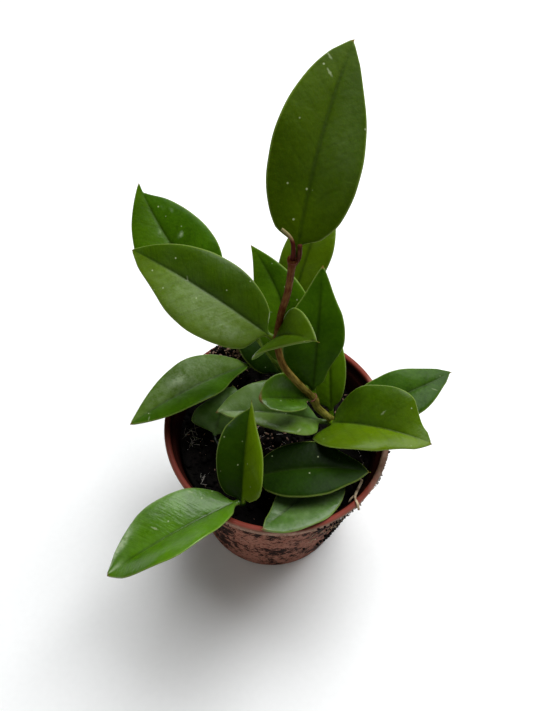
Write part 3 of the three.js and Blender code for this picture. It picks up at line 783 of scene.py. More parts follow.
# %% Rings at the main stem's nodes
def node_ring(centre, along, radius, thick, around=28, facets=8):
    """Vertices and faces of a ring about a stem, slightly uneven."""
    side = np.cross(along, [0.2, 1.0, 0.1])
    side /= np.linalg.norm(side)
    up = np.cross(along, side)
    vertices, faces = [], []
    for i in range(around):
        a = 2 * math.pi * i / around
        out = side * math.cos(a) + up * math.sin(a)
        body = thick * (1 + 0.5 * noise.noise(Vector((3 * math.cos(a), 3 * math.sin(a), centre[2]))))
        for j in range(facets):
            b = 2 * math.pi * j / facets
            vertices.append(centre + out * (radius + body * math.cos(b)) + along * body * math.sin(b))
            ahead, beside = (i + 1) % around * facets, (j + 1) % facets
            faces.append((i * facets + j, i * facets + beside, ahead + beside, ahead + j))
    return vertices, faces


main_path = smooth_path(STEMS["stem_main"][0], STEM_STEP)
ring_vertices, ring_faces = [], []
for z, radius in ((210.7, 1.7), (153.4, 1.95), (116.6, 2.2)):
    i = int(np.argmin(abs(main_path[:, 2] - z)))
    i = min(i, len(main_path) - 2)
    along = main_path[i + 1] - main_path[i - 1]
    vertices, faces = node_ring(main_path[i], along / np.linalg.norm(along), radius, 0.26)
    ring_faces += [tuple(k + len(ring_vertices) for k in face) for face in faces]
    ring_vertices += vertices
rings_made = mesh_piece("node_rings", ring_vertices, ring_faces, node_cork)
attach(rings_made, "root")
print("node rings:", len(ring_faces), "faces")

# %% [markdown]
# ## The leaves' finish
#
# A hoya's leaf is thick and waxy: a glassy cuticle over dark green flesh that
# lets a little light through. The midrib is a fine darker line in a shallow
# groove, side veins show faintly, and the margin is a thin line painted pale for
# the light that shines through it and glints on it. Hard water leaves white
# specks. Each mesh carries how far a point is from the midrib, the margin, the
# base and the tip, in millimetres, and the recipe reads those, so the veins bend
# with the leaf.

# %% Leaf finish: flesh, veins and margin
def leaf_flesh(m, deep, fresh, sun):
    """The leaf's colour under its wax, with painted light and shade on each half, and the faint relief of
    its side veins.
    """
    place = add_node(m, "TexCoord").outputs["Object"]
    skin = add_node(m, "Attribute", attribute_name="skin_mm").outputs["Vector"]
    part = add_node(m, "SeparateXYZ", {0: skin})
    rib = add_node(m, "Math", {0: part.outputs[0]}, operation="ABSOLUTE").outputs[0]
    edge = add_node(m, "Attribute", attribute_name="edge_mm").outputs["Fac"]
    light_and_bleach_share = add_node(m, "Attribute", attribute_name="sun").outputs["Fac"]
    # Clouds of deep and fresh green, 16 mm across, over mottles of 1.5 mm.
    cloud = add_node(m, "TexNoise", {"Vector": place, "Scale": every(16), "Detail": 3.0}).outputs["Fac"]
    mottle = add_node(m, "TexNoise", {"Vector": place, "Scale": every(1.5), "Detail": 3.0}).outputs["Fac"]
    blend = add_node(m, "Math", {0: mottle, 1: 0.35, 2: cloud}, operation="MULTIPLY_ADD").outputs[0]
    share = add_node(m, "MapRange", {"Value": blend, "From Min": 0.48, "From Max": 0.88})
    flesh = add_node(m, "Mix", {0: share.outputs[0], 6: srgb(deep), 7: srgb(fresh)}, data_type="RGBA")
    # Painted light and shade: a half under the light is painted yellower, as is one bleached by sun, and a
    # half in shade is painted deeper green.
    patchy = add_node(m, "Math", {0: cloud, 1: 0.5, 2: 0.75}, operation="MULTIPLY_ADD").outputs[0]
    lit_and_bleached = add_node(m, "Math", {0: patchy, 1: light_and_bleach_share}, operation="MULTIPLY", use_clamp=True).outputs[0]
    flesh = add_node(m, "Mix", {0: lit_and_bleached, 6: flesh.outputs[2], 7: srgb(sun)}, data_type="RGBA")
    painted_shade = add_node(m, "Math", {0: light_and_bleach_share, 1: -1.0}, operation="MULTIPLY", use_clamp=True).outputs[0]
    flesh = add_node(m, "Mix", {0: painted_shade, 6: flesh.outputs[2], 7: srgb("#091402")}, data_type="RGBA")
    # Side veins leave the midrib every 9 mm, lean to the tip and fade before the margin.
    wander = add_node(m, "Math", {0: cloud, 1: 9.0, 2: part.outputs[1]}, operation="MULTIPLY_ADD").outputs[0]
    run = add_node(m, "Math", {0: rib, 1: -0.85, 2: wander}, operation="MULTIPLY_ADD").outputs[0]
    beat = add_node(m, "Math", {0: run, 1: 4.5}, operation="PINGPONG").outputs[0]
    line = add_node(m, "MapRange", {"Value": beat, "From Max": 1.6, "To Min": 1.0, "To Max": 0.0},
                    interpolation_type="SMOOTHSTEP").outputs[0]
    fade = add_node(m, "MapRange", {"Value": edge, "From Min": 1.5, "From Max": 7.0}).outputs[0]
    side_veins = add_node(m, "Math", {0: line, 1: fade}, operation="MULTIPLY").outputs[0]
    midrib = add_node(m, "MapRange", {"Value": rib, "From Min": 0.15, "From Max": 1.2, "To Min": 0.45,
                                      "To Max": 0.0}, interpolation_type="SMOOTHSTEP").outputs[0]
    towards_tip = add_node(m, "Attribute", attribute_name="tip_mm").outputs["Fac"]
    whole = add_node(m, "MapRange", {"Value": towards_tip, "From Min": 1.0, "From Max": 14.0}).outputs[0]
    midrib = add_node(m, "Math", {0: midrib, 1: whole}, operation="MULTIPLY").outputs[0]
    dark = add_node(m, "Math", {0: side_veins, 1: 0.12, 2: midrib}, operation="MULTIPLY_ADD",
                    use_clamp=True).outputs[0]
    veined = add_node(m, "Mix", {0: dark, 6: flesh.outputs[2], 7: srgb("#1d2c06")}, data_type="RGBA")
    # Painted light: the margin's last half millimetre is painted paler, for the light that shines through it
    # and glints on it.
    margin_painted_light = add_node(m, "MapRange", {"Value": edge, "From Min": 0.1, "From Max": 0.9, "To Min": 0.4,
                                   "To Max": 0.0}, interpolation_type="SMOOTHSTEP").outputs[0]
    edged = add_node(m, "Mix", {0: margin_painted_light, 6: veined.outputs[2], 7: srgb("#8a9c4a")}, data_type="RGBA")
    return edged.outputs[2], side_veins


# %% [markdown]
# On top of the flesh lie the things that make the leaf look lived with: a dull
# wax film in patches, with some pale patches of painted sheen, scars a
# millimetre or two long that run with the veins, dots of dried hard water, and a
# tip that has dried brown. The film is thinned where a half is painted in shade.
# The underside is paler and duller. Fine wrinkles run from the midrib to the
# margin, as on the skin of a grape that has begun to shrink, and break up the
# shine.

# %% Leaf finish: wax, scars and wrinkles
def waxy_leaf(name, deep, fresh, sun, film, wrinkle, shine, gloss=0.34):
    m, out = new_material(name)
    colour, side_veins = leaf_flesh(m, deep, fresh, sun)
    place = add_node(m, "TexCoord").outputs["Object"]
    skin = add_node(m, "Attribute", attribute_name="skin_mm").outputs["Vector"]
    part = add_node(m, "SeparateXYZ", {0: skin})
    rib = add_node(m, "Math", {0: part.outputs[0]}, operation="ABSOLUTE").outputs[0]
    # A frame that runs with the veins: u across them, v along them, in millimetres.
    u = add_node(m, "Math", {0: rib, 1: -0.7, 2: part.outputs[1]}, operation="MULTIPLY_ADD").outputs[0]
    with_veins = add_node(m, "CombineXYZ", {0: u, 1: part.outputs[0], 2: part.outputs[2]}).outputs[0]
    # The wax film lies in patches of 9 mm, and more pale film where the leaf's own table has a bloom; some
    # blooms are painted sheen.
    waxy = add_node(m, "TexNoise", {"Vector": place, "Scale": every(9), "Detail": 5.0,
                                    "Roughness": 0.6}).outputs["Fac"]
    film_and_painted_sheen = add_node(m, "MapRange", {"Value": waxy, "From Min": 0.42, "From Max": 0.68,
                                      "To Max": film}).outputs[0]
    bloom = add_node(m, "Attribute", attribute_name="bloom").outputs["Fac"]
    rubbed = add_node(m, "TexNoise", {"Vector": place, "Scale": every(4), "Detail": 8.0,
                                      "Roughness": 0.75}).outputs["Fac"]
    broken = add_node(m, "MapRange", {"Value": rubbed, "From Min": 0.36, "From Max": 0.66,
                                      "To Min": 0.15}).outputs[0]
    film_and_painted_sheen = add_node(m, "Math", {0: bloom, 1: broken, 2: film_and_painted_sheen}, operation="MULTIPLY_ADD",
                      use_clamp=True).outputs[0]
    # Where a half is painted in shade, its film is thinned so the painted shade stays dark.
    light_and_bleach_share = add_node(m, "Attribute", attribute_name="sun").outputs["Fac"]
    outside_painted_shade = add_node(m, "Math", {0: light_and_bleach_share, 1: 1.0}, operation="ADD", use_clamp=True).outputs[0]
    film_and_painted_sheen = add_node(m, "Math", {0: film_and_painted_sheen, 1: outside_painted_shade}, operation="MULTIPLY").outputs[0]
    colour = add_node(m, "Mix", {0: film_and_painted_sheen, 6: colour, 7: srgb("#9aad84")}, data_type="RGBA").outputs[2]
    # Scars: about 2 mm by 1 mm, far apart, ragged by noise.
    ragged = add_node(m, "TexNoise", {"Vector": skin, "Scale": 1.2, "Detail": 3.0}).outputs["Color"]
    shaken = add_node(m, "VectorMath", {0: ragged, 1: (1.2, 1.2, 0.0), 2: with_veins},
                      operation="MULTIPLY_ADD").outputs[0]
    drawn = add_node(m, "Mapping", {"Vector": shaken, "Scale": (0.24, 0.1, 0.31)}).outputs[0]
    cells = add_node(m, "TexVoronoi", {"Vector": drawn, "Scale": 1.0})
    pick = add_node(m, "SeparateColor", {0: cells.outputs["Color"]})
    scarred = add_node(m, "Math", {0: pick.outputs[0], 1: 0.86}, operation="GREATER_THAN").outputs[0]
    scar = add_node(m, "MapRange", {"Value": cells.outputs["Distance"], "From Min": 0.08, "From Max": 0.17,
                                    "To Min": 0.42, "To Max": 0.0}).outputs[0]
    scar = add_node(m, "Math", {0: scar, 1: scarred}, operation="MULTIPLY").outputs[0]
    # Hard water dots, 0.4 to 1 mm across, far apart.
    spots = add_node(m, "TexVoronoi", {"Vector": place, "Scale": every(4)})
    pick = add_node(m, "SeparateColor", {0: spots.outputs["Color"]})
    dotted = add_node(m, "Math", {0: pick.outputs[1], 1: 0.82}, operation="GREATER_THAN").outputs[0]
    dot = add_node(m, "MapRange", {"Value": spots.outputs["Distance"], "From Min": 0.05, "From Max": 0.12,
                                   "To Min": 0.7, "To Max": 0.0}).outputs[0]
    dot = add_node(m, "Math", {0: dot, 1: dotted}, operation="MULTIPLY").outputs[0]
    marks = add_node(m, "Math", {0: scar, 1: dot}, operation="MAXIMUM").outputs[0]
    colour = add_node(m, "Mix", {0: marks, 6: colour, 7: srgb("#a9b48c")}, data_type="RGBA").outputs[2]
    under = add_node(m, "Attribute", attribute_name="under").outputs["Fac"]
    pale = add_node(m, "Math", {0: under, 1: 0.55}, operation="MULTIPLY").outputs[0]
    colour = add_node(m, "Mix", {0: pale, 6: colour, 7: srgb("#6f8a45")}, data_type="RGBA").outputs[2]
    tip = add_node(m, "Attribute", attribute_name="tip_mm").outputs["Fac"]
    brown = add_node(m, "MapRange", {"Value": tip, "From Min": 0.5, "From Max": 1.7, "To Min": 0.8,
                                     "To Max": 0.0}).outputs[0]
    colour = add_node(m, "Mix", {0: brown, 6: colour, 7: srgb("#6e4a20")}, data_type="RGBA").outputs[2]
    # Shine: glassy where the film is thin, duller in the film, on a mark and below.
    dull = add_node(m, "Math", {0: marks, 1: under}, operation="MAXIMUM").outputs[0]
    duller = add_node(m, "Math", {0: waxy, 1: 0.45, 2: dull}, operation="MULTIPLY_ADD").outputs[0]
    rough = add_node(m, "MapRange", {"Value": duller, "From Min": 0.15, "From Max": 0.7,
                                     "To Min": gloss - 0.05, "To Max": gloss + 0.22}).outputs[0]
    # Relief: wrinkles 1 mm apart that run with the veins, pebbles of 2.5 mm, swells between the veins.
    stretched = add_node(m, "Mapping", {"Vector": with_veins, "Scale": (0.95, 0.16, 0.31)}).outputs[0]
    wrinkles = add_node(m, "TexNoise", {"Vector": stretched, "Scale": 1.0, "Detail": 3.0,
                                        "Distortion": 0.4}).outputs["Fac"]
    pebbles = add_node(m, "TexNoise", {"Vector": place, "Scale": every(2.5), "Detail": 2.0}).outputs["Fac"]
    relief = add_node(m, "Math", {0: wrinkles, 1: 2.4 * wrinkle, 2: pebbles},
                      operation="MULTIPLY_ADD").outputs[0]
    relief = add_node(m, "Math", {0: side_veins, 1: -0.15, 2: relief}, operation="MULTIPLY_ADD").outputs[0]
    bump = add_node(m, "Bump", {"Height": relief, "Strength": 0.3, "Distance": 0.0007}).outputs[0]
    shader = add_node(m, "BsdfPrincipled", {"Base Color": colour, "Roughness": rough, "Normal": bump,
                                            "IOR": 1.48, "Specular IOR Level": shine,
                                            "Subsurface Weight": 0.15, "Subsurface Scale": 0.0015,
                                            "Subsurface Radius": (0.5, 1.0, 0.1)})
    m.node_tree.links.new(shader.outputs[0], out.inputs[0])
    return m


OLIVE = waxy_leaf("hoya_leaf_olive", "#2b3f01", "#3a5001", "#4a5001",
                  gloss=0.45, film=0.0, wrinkle=0.05, shine=0.03)
MATURE = waxy_leaf("hoya_leaf_mature", "#274602", "#3b5f05", "#536e04", film=0.0, wrinkle=0.1, shine=0.07)
YOUNG = waxy_leaf("hoya_leaf_young", "#304a01", "#405c04", "#637a04",
                  gloss=0.36, film=0.02, wrinkle=0.2, shine=0.12)
FRESH = waxy_leaf("hoya_leaf_fresh", "#3b6004", "#4e780a", "#6a7c0c",
                  gloss=0.32, film=0.05, wrinkle=0.26, shine=0.33)
# Painted shade: a finish painted darker for the lowest leaves, which lie in the shade of those above.
PAINTED_SHADE_LEAF = waxy_leaf("hoya_leaf_painted_shade", "#112303", "#1d3504", "#365808",
                 gloss=0.42, film=0.0, wrinkle=0.08, shine=0.04)
WAXED = waxy_leaf("hoya_leaf_waxed", "#37581b", "#4e7225", "#64822a", film=0.2, wrinkle=0.16, shine=0.3)
print("leaf finishes:", OLIVE.name, MATURE.name, YOUNG.name, FRESH.name, PAINTED_SHADE_LEAF.name, WAXED.name)

# %% [markdown]
# ## The leaves' shape
#
# Each blade is set out from its base and its tip, as in the CAD model, though a
# few bases are moved by up to about 3 mm. roll turns it about its midrib, fold
# lifts the halves into a V, arch bows it, and the outline is full near the base
# and drawn out to a point. The fine mesh adds what a mould of a real leaf would
# show: a groove along the midrib with a keel below, a rounded margin that turns
# down slightly, and a slow wave.
#
# A notch is a bay in the margin, or a bulge where its depth is negative: side,
# place along the midrib, depth and reach in millimetres. A bloom is a pale patch
# of wax film, and some blooms are painted sheen. Each half has its own share of
# painted light, with some sun bleaching, and painted shade where the share is
# negative; more painted light can be added towards the tip, and the stalk has a
# share of its own.

# %% Leaf table
LEAVES = {
    "leaf_main_top": dict(start=(1.3, 1.5, 209), base=(1.7, 2.2, 213.8), tip=(14.4, 57, 255.4), width=31,
        roll=10, fold=5, arch=3, sway=-2, petiole=0.8, knee=0.15, blunt=0.55, point=0.78, skew=2,
        notches=[(1, 0.86, 1.2, 12), (1, 0.06, 1.2, 5)], sun=(0.05, -0.05),
        blooms=[(0.5, 0.5, 16, 8, 0.06)], lobe=0.5, finish=OLIVE),
    "leaf_main_left": dict(start=(-3, 9, 152), base=(-7, 11, 153), tip=(-70, 42, 165), width=35, roll=-26,
        fold=9, arch=4, sway=1.2, point=0.85, lean=-0.06, notches=[(-1, 0.75, 2, 12), (-1, 0.08, -1.5, 8)],
        sun=(0.35, -0.15), blooms=[(0.45, -0.5, 24, 8, 0.28), (0.2, -0.55, 7, 4, 0.35)], finish=YOUNG),
    "leaf_main_small": dict(start=(-3, 9, 152), base=(-3.5, 7.5, 154), tip=(13.4, -5.4, 173), width=27,
        roll=20, fold=21, arch=4.5, skew=7.5, point=1.1, notches=[(1, 0.72, 3.5, 8), (-1, 0.6, 2.5, 10)],
        lean=0.06, sun=(0.1, 0.1), finish=YOUNG),
    "leaf_main_back": dict(start=(16, 4, 115), base=(15.3, 8, 117.5), tip=(14, 42, 165), width=29, roll=-4,
        fold=12, arch=3, point=1, lean=-0.08, beak=0.15, notches=[(1, 0.2, 5, 10)], sun=(-0.2, 0),
        finish=MATURE),
    "leaf_main_round": dict(start=(16, 4, 115), base=(13, 3, 117), tip=(-9, -7, 130), width=18, roll=-18,
        fold=14, arch=0, cup=0.45, blunt=0.5, point=0.42, lean=0.15, notches=[(1, 0.2, 3, 5)],
        sun=(-0.25, -0.15), lobe=3, blooms=[(0.6, 0.5, 6, 1.0, 0.4), (0.45, -0.75, 7, 0.8, 0.4)],
        finish=FRESH),
    "leaf_main_right": dict(start=(27, 3, 97), base=(27, 0, 101), tip=(70, -14, 115), width=38, roll=5,
        fold=28, arch=5, lobe=13, skew=5.5, point=0.66, beak=0.2, notches=[(1, 0.66, 1.5, 12),
        (1, 0.42, -3, 12), (1, 0.2, 1.0, 7), (-1, 0.08, 2, 6), (-1, 0.4, -0.6, 10), (-1, 0.87, 2.6, 7)],
        lean=-0.04, blunt=0.5, sun=(-0.2, 0.15), sunset=0.5, ear=4, join=1.2, finish=YOUNG),
    "leaf_main_low": dict(start=(27, 3, 97), base=(21, 2, 98), tip=(-29, -6, 112), width=33, roll=0,
        fold=28, arch=4, point=0.72, notches=[(-1, 0.72, 7, 14), (1, 0.1, 4.5, 9)],
        blooms=[(0.88, 0.2, 14, 10, 0.35)], sun=(0.5, 0.0), sunset=0.5, finish=WAXED),
    "leaf_foot_back": dict(start=(27, 4, 93), base=(26, 10, 96), tip=(20.5, 40, 126), width=20, roll=-8,
        fold=10, arch=3, lean=-0.2, point=0.62, sun=(0.4, 0.4), finish=MATURE),
    "leaf_foot_right": dict(start=(27, 5, 88), base=(34, 11, 92), tip=(84.6, 31, 107.6), width=26, roll=10,
        fold=12, arch=5, sway=3, notches=[(1, 0.85, 2.4, 9), (-1, 0.8, 0.8, 9)],
        blooms=[(0.5, 0, 26, 12, 0.05)], sun=(-0.1, -0.1), finish=MATURE),
    "leaf_side_right": dict(start=(5, 30, 124), base=(1, 42, 130), tip=(14.5, 80, 171), width=24, roll=6,
        fold=8, arch=3, notches=[(1, 0.36, 1.5, 9)], sun=(0.25, 0.3), finish=YOUNG),
    "leaf_side_left": dict(start=(9, 15, 117), base=(5, 16, 122), tip=(-19, 55, 161), width=28, roll=-20,
        fold=12, arch=3, sway=5, point=1.1, lean=-0.05, sun=(0.2, 0.1), finish=MATURE),
    "leaf_front_up": dict(start=(-12.5, -38, 95.5), base=(-12.6, -43, 100.2), tip=(-12, -8, 130), width=26,
        roll=-12, fold=34, arch=3, point=0.9, beak=0.12, skew=5, lobe=8, notches=[(-1, 0.93, 2.5, 5),
        (1, 0.85, 1.5, 6), (1, 0.12, 3.5, 8)], sun=(-0.8, 1.2), sunset=0.3, stalk_sun=-0.8, finish=MATURE),
    "leaf_front_out": dict(start=(-13.8, -42, 96.5), base=(-15, -43.5, 100), tip=(-65.4, -79.3, 97.2),
        width=34, roll=18, fold=30, arch=4, sway=-1, notches=[(-1, 0.5, -2, 14), (-1, 0.12, 2.5, 8)],
        blooms=[(0.86, 0.8, 8, 3, 2.2), (0.95, 0.1, 4, 3, 1.0), (0.5, 0.97, 25, 1.0, 0.4)], stalk_sun=-0.3,
        finish=FRESH),
    "leaf_front_right": dict(start=(-11, -33, 92), base=(-9, -30.4, 98.2), tip=(44, -25.4, 104.3),
        width=28.6, roll=-3, fold=9, arch=1.5, sway=-2.6, lean=0.05, notches=[(1, 0.85, 1.6, 10),
        (-1, 0.82, 2, 9)], sun=(-0.8, -0.25), sunset=0.4, finish=PAINTED_SHADE_LEAF),
    "leaf_front_left": dict(start=(-10, -29, 88), base=(-29.7, -9, 95), tip=(-24, 17, 100), width=29,
        roll=-4, fold=5, arch=3, knee=0.15, blunt=0.4, lobe=3, point=0.9, notches=[(-1, 0.65, 4, 9)],
        sun=(-0.3, -0.3), stalk_sun=-1, petiole=0.9, finish=WAXED),
    "leaf_back_top": dict(start=(-26, 41, 131), base=(-36, 46, 133), tip=(-76, 86, 165), width=38,
        roll=-22, fold=8, arch=3, sway=-3, point=1.0, notches=[(1, 0.93, 4, 6)], lean=0.005,
        sun=(0.2, 0.0), blooms=[(0.75, 0.5, 1.2, 0.5, 1.5), (0.7, 0.62, 0.6, 0.5, 1.2),
        (0.5, 0.35, 0.6, 1.0, 1.3), (0.6, -0.1, 1.0, 0.5, 1.0)], finish=MATURE),
    "leaf_back_left": dict(start=(6, 27, 90), base=(-16, 30, 100), tip=(-68, -14, 108), width=29, roll=0,
        fold=28, arch=5, blunt=0.85, point=1, notches=[(-1, 0.2, 5, 12)], sun=(0, 0.5),
        blooms=[(0.5, 0.5, 28, 9, 0.5), (0.57, 0.45, 4.5, 3, 1.2)], finish=MATURE),
    "leaf_back_under": dict(start=(3, 26, 96), base=(-1, 27, 98), tip=(-24, 57, 110), width=25, roll=-10,
        fold=6, arch=4, sun=(-0.2, -0.2), finish=PAINTED_SHADE_LEAF),
    "leaf_short": dict(start=(33, -16, 86), base=(30, -17, 89), tip=(-3, -55, 101), width=28, roll=8,
        fold=15, arch=-2, lean=-0.22, notches=[(1, 0.8, 2.5, 9)], sun=(-0.2, -0.4),
        blooms=[(0.4, -0.4, 16, 8, 0.25)], finish=WAXED),
}
BLADE_THICK, MARGIN_THICK, STALK_RADIUS = 1.6, 0.7, 1.3
HALF_STEPS = [0, 0.02, 0.045, 0.08, 0.13, 0.2, 0.28, 0.37, 0.46, 0.55, 0.64, 0.73, 0.81, 0.88, 0.93, 0.965,
              0.988, 1.0]
ACROSS = np.array([-t for t in HALF_STEPS[:0:-1]] + HALF_STEPS)
print("leaves:", len(LEAVES), "points across each face:", len(ACROSS))

# %% Blade frame and rings
def unit(v):
    return v / np.linalg.norm(v)


def ramp(value, low, high):
    """0 below low, 1 above high, and eased between them."""
    t = min(1.0, max(0.0, (value - low) / (high - low)))
    return t * t * (3 - 2 * t)


class Blade:
    """One leaf's frame, midrib and rings, in millimetres."""

    def __init__(self, facts, seed):
        self.seed = seed
        plain = dict(sway=0, petiole=STALK_RADIUS, knee=0.5, blunt=0.6, point=0.73, lobe=0, skew=0, ear=0,
                     join=5, cup=0, lean=0, beak=0, puff=0.06, wave=0.4, notches=(), sun=(0, 0), sunset=0,
                     stalk_sun=0.3, blooms=())
        self.facts = plain | facts
        self.base, self.tip = np.array(facts["base"], float), np.array(facts["tip"], float)
        self.length = np.linalg.norm(self.tip - self.base)
        self.along = unit(self.tip - self.base)
        up = unit(np.array([0, 0, 1.0]) - self.along * self.along[2])
        self.up = self.rolled(up, self.along, facts["roll"])
        self.side = np.cross(self.along, self.up)
        self.skin, self.values = [], {"edge_mm": [], "tip_mm": [], "sun": [], "bloom": [], "under": []}

    def rolled(self, up, along, degrees):
        angle = math.radians(degrees)
        return up * math.cos(angle) + np.cross(along, up) * math.sin(angle)

    def midrib(self, s):
        bow = 4 * s * (1 - s)
        return (self.base + self.along * self.length * s + self.up * self.facts["arch"] * bow
                + self.side * self.facts["sway"] * bow)

    def half_width(self, s, hand):
        """Width of one half at s: hand is -1 or 1. The tip is drawn out by beak and ends in a point."""
        facts = self.facts
        widest = facts["blunt"] / (facts["blunt"] + facts["point"])
        half = (s / widest) ** facts["blunt"] * ((1 - s) / (1 - widest)) ** facts["point"]
        half *= facts["width"] / 2 * (1 + facts["lean"] * hand)
        half *= 1 - facts["beak"] * math.sin(math.pi * min(1, max(0, (s - 0.66) / 0.34)))
        half *= 1 + 0.015 * noise.noise(Vector((s * 7, 3.1 * hand, self.seed)))
        half *= min(1.0, (1 - s) / 0.1) ** max(0.0, 1 - facts["point"])
        for side, place, depth, reach in facts["notches"]:
            if side == hand:
                half -= depth * math.exp(-((s - place) * self.length / reach) ** 2)
        return max(half, facts["petiole"] * (1 - s) ** 8, 0.12)

    def lift(self, s, t, half, grown):
        """How far a place on the blade's middle surface stands above the midrib's plane."""
        facts, a = self.facts, abs(t)
        soft = math.sqrt(a * a + 0.0009) - 0.03
        rise = half * (math.sin(math.radians(facts["fold"])) * soft + facts["cup"] * t * t)
        rise += facts["puff"] * half * 4 * a * (1 - a)
        rise -= 0.4 * max(0, (a - 0.8) / 0.2) ** 2
        wave = math.sin(6.28 * (2.3 * s + 0.37 * self.seed) + (2 if t > 0 else 0)) * math.sin(math.pi * s)
        rise += facts["wave"] * wave * a ** 3
        slow = noise.noise(Vector((s * self.length / 14, t * half / 9, 7.0 * self.seed)))
        return (rise + 0.35 * slow * a) * grown

    def ring(self, s):
        """Upper face from one margin to the other, then the lower face back."""
        facts = self.facts
        along = unit(self.midrib(min(1, s + 0.02)) - self.midrib(max(0, s - 0.02)))
        up = unit(self.up - along * self.up.dot(along))
        side = np.cross(along, up)
        halves = {-1: self.half_width(s, -1), 1: self.half_width(s, 1)}
        centre, fold = self.midrib(s), math.radians(facts["fold"])
        points = []
        for face, run in ((1, ACROSS), (-1, ACROSS[::-1])):
            for t in run:
                a, half = abs(t), halves[1 if t > 0 else -1]
                grown = min(1.0, half / (facts["width"] / 2))
                thick = BLADE_THICK + (MARGIN_THICK - BLADE_THICK) * a * grown ** 0.5
                thick *= math.sqrt(max(0.05, 1 - max(0, (a - 0.93) / 0.07) ** 2)) * min(1, half / 1.2)
                groove = (0.3 if face > 0 else -0.55) * math.exp(-((half * t) / 0.8) ** 2)
                rise = self.lift(s, t, half, grown) - groove * grown * (1 - s) ** 0.3 + face * thick / 2
                lobe = facts["lobe"] + (facts["ear"] if t > 0 else 0)
                back = lobe * t * t * (1 - s) ** 3 * grown + facts["skew"] * t * grown
                points.append(centre - along * back + side * half * t * math.cos(fold) + up * rise)
                self.note(half * t, self.length * s - back, face, half * (1 - a),
                          self.length * (1 - s) + back, self.sun(s, t), self.bloom(s, t))
        join = s * self.length / facts["join"]
        return np.array(points) if join >= 1 else self.stalk_ring(centre, along, ramp(join, 0, 1),
                                                                  np.array(points))

    def sun(self, s, t):
        """How much painted light a place gets, with some sun bleaching, and painted shade where it is
        negative: each half has its own share, and more is added towards the tip.
        """
        left, right = self.facts["sun"]
        return left + (right - left) * ramp(t, -0.04, 0.04) + self.facts["sunset"] * s

    def bloom(self, s, t):
        """How much pale film lies here, some of it painted sheen. A patch is (s, t, reach along and across
        in mm, strength).
        """
        found = 0
        for place, across, long, wide, strength in self.facts["blooms"]:
            away = math.hypot((s - place) * self.length / long,
                              (t - across) * self.facts["width"] / 2 / wide)
            found += strength * math.exp(-away * away)
        return found

    def note(self, across, along, face, edge, tip, sun, bloom):
        self.skin.append((across, along, 40.0 * self.seed - 10.0 * face))
        for name, value in zip(self.values, (edge, tip, sun, bloom, (1 - face) / 2)):
            self.values[name].append(value)

    def stalk_ring(self, centre, along, join=0.0, blade=None, swell=1.0):
        """A round ring with the blade's count of points, blended into the blade by `join`."""
        up = unit(self.up - along * self.up.dot(along))
        side = np.cross(along, up)
        radius = self.facts["petiole"] * swell
        points = []
        for face, run in ((1, ACROSS), (-1, ACROSS[::-1])):
            for t in run:
                height = face * math.sqrt(max(0.0, 1 - t * t)) * (0.8 if face > 0 else 1)
                points.append(centre + radius * (side * t + up * height))
        points = np.array(points)
        return points if blade is None else points * (1 - join) + blade * join

    def stalk_rings(self):
        """Rings from inside the stem to the blade's base."""
        start = np.array(self.facts["start"], float)
        reach = np.linalg.norm(self.base - start)
        knee = self.base - self.along * reach * self.facts["knee"]
        rings = []
        steps = 5 + int(reach / 1.2)
        for i in range(steps):
            u = i / steps
            centre = start * (1 - u) ** 2 + knee * 2 * u * (1 - u) + self.base * u * u
            along = unit(2 * (1 - u) * (knee - start) + 2 * u * (self.base - knee))
            swell = 1 + 0.25 * math.exp(-((u * reach - 2) / 1.5) ** 2)
            rings.append(self.stalk_ring(centre, along, swell=swell))
            # The stalk gets its own share of painted light; a negative share paints it in shade.
            for _ in range(2 * len(ACROSS)):
                self.note(5.0, 0.0, 1, 5.0, 60.0, self.facts["stalk_sun"], 0.0)
        return rings


def leaf_piece(node, facts, seed, steps=64):
    blade = Blade(facts, seed)
    rings = blade.stalk_rings()
    rings += [blade.ring((1 - math.cos(math.pi * i / steps)) / 2) for i in range(steps + 1)]
    around = 2 * len(ACROSS)
    made = mesh_piece(node + "_fine", np.array(rings).reshape(-1, 3), loft_faces(len(rings), around),
                      facts["finish"])
    skin = made.data.attributes.new("skin_mm", "FLOAT_VECTOR", "POINT")
    skin.data.foreach_set("vector", np.array(blade.skin).ravel())
    for name, values in blade.values.items():
        made.data.attributes.new(name, "FLOAT", "POINT").data.foreach_set("value", values)
    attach(made, "root")
    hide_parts(node)
    return made


for seed, (node, facts) in enumerate(LEAVES.items()):
    leaf = leaf_piece(node, facts, seed)
print("faces in the last leaf:", len(leaf.data.polygons))

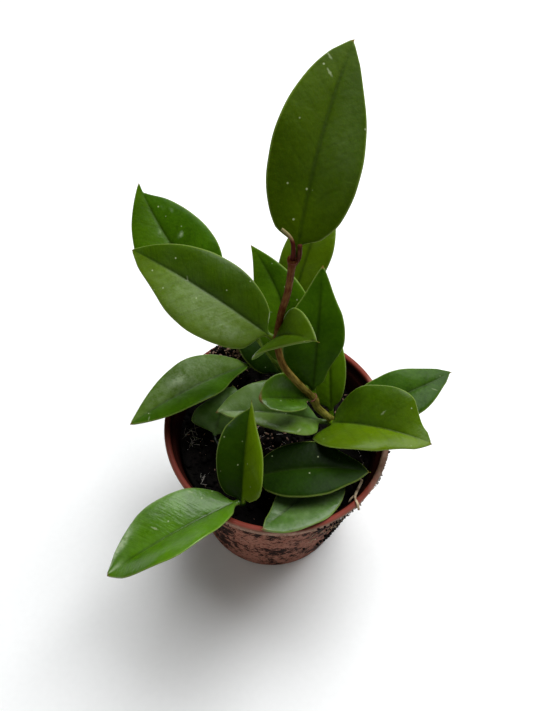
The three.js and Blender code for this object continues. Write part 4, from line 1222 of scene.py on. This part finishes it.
# %% [markdown]
# ## Floor and light
#
# The plant stands on a plain pale floor under soft studio light. The brightest
# part of the photo's light came from above and behind, like a window or an open
# sky: it shines on blades that lean away from the viewer and leaves those that
# face the viewer dark. A large area light stands in for it, with a weaker fill
# from the front.

# %% Floor, world and lamps
def pale_floor():
    m, out = new_material("pale_paper_floor")
    place = add_node(m, "TexCoord")
    tooth = add_node(m, "TexNoise", {"Vector": place.outputs["Object"], "Scale": 300.0, "Detail": 3.0})
    colour = add_node(m, "Mix", {0: tooth.outputs["Fac"], 6: srgb("#f6f6f5"), 7: srgb("#fbfbfa")},
                      data_type="RGBA")
    shader = add_node(m, "BsdfPrincipled", {"Base Color": colour.outputs[2], "Roughness": 0.9})
    m.node_tree.links.new(shader.outputs[0], out.inputs[0])
    return m


FLOOR_REACH = 3000
floor_corners = [(x * FLOOR_REACH, y * FLOOR_REACH, -0.2) for x, y in ((-1, -1), (1, -1), (1, 1), (-1, 1))]
floor = mesh_piece("floor", floor_corners, [(0, 1, 2, 3)], pale_floor())

world = bpy.data.worlds.new("studio")
bpy.context.scene.world = world
world.use_nodes = True
world.node_tree.nodes["Background"].inputs[0].default_value = (1.0, 1.0, 1.0, 1.0)
world.node_tree.nodes["Background"].inputs[1].default_value = 0.1
world.cycles_visibility.glossy = False
bpy.context.scene.view_settings.view_transform = "Standard"


def area_light(name, place, target, size, power, colour):
    """A square lamp at `place`, in metres, turned towards `target`."""
    data = bpy.data.lights.new(name, "AREA")
    data.shape, data.size, data.energy, data.color = "SQUARE", size, power, srgb(colour)[:3]
    lamp = bpy.data.objects.new(name, data)
    lamp.location = place
    lamp.rotation_euler = (Vector(target) - Vector(place)).to_track_quat("-Z", "Y").to_euler()
    bpy.context.scene.collection.objects.link(lamp)
    return lamp


area_light("window_above", (0.25, 0.5, 1.15), (0, 0, 0.12), 1.0, 26, "#fbfdff")
front_fill = area_light("front_fill", (-0.7, -1.1, 0.6), (0, 0, 0.1), 1.0, 2.5, "#fffaf2")
front_fill.visible_glossy = False
print("lamps: 2")
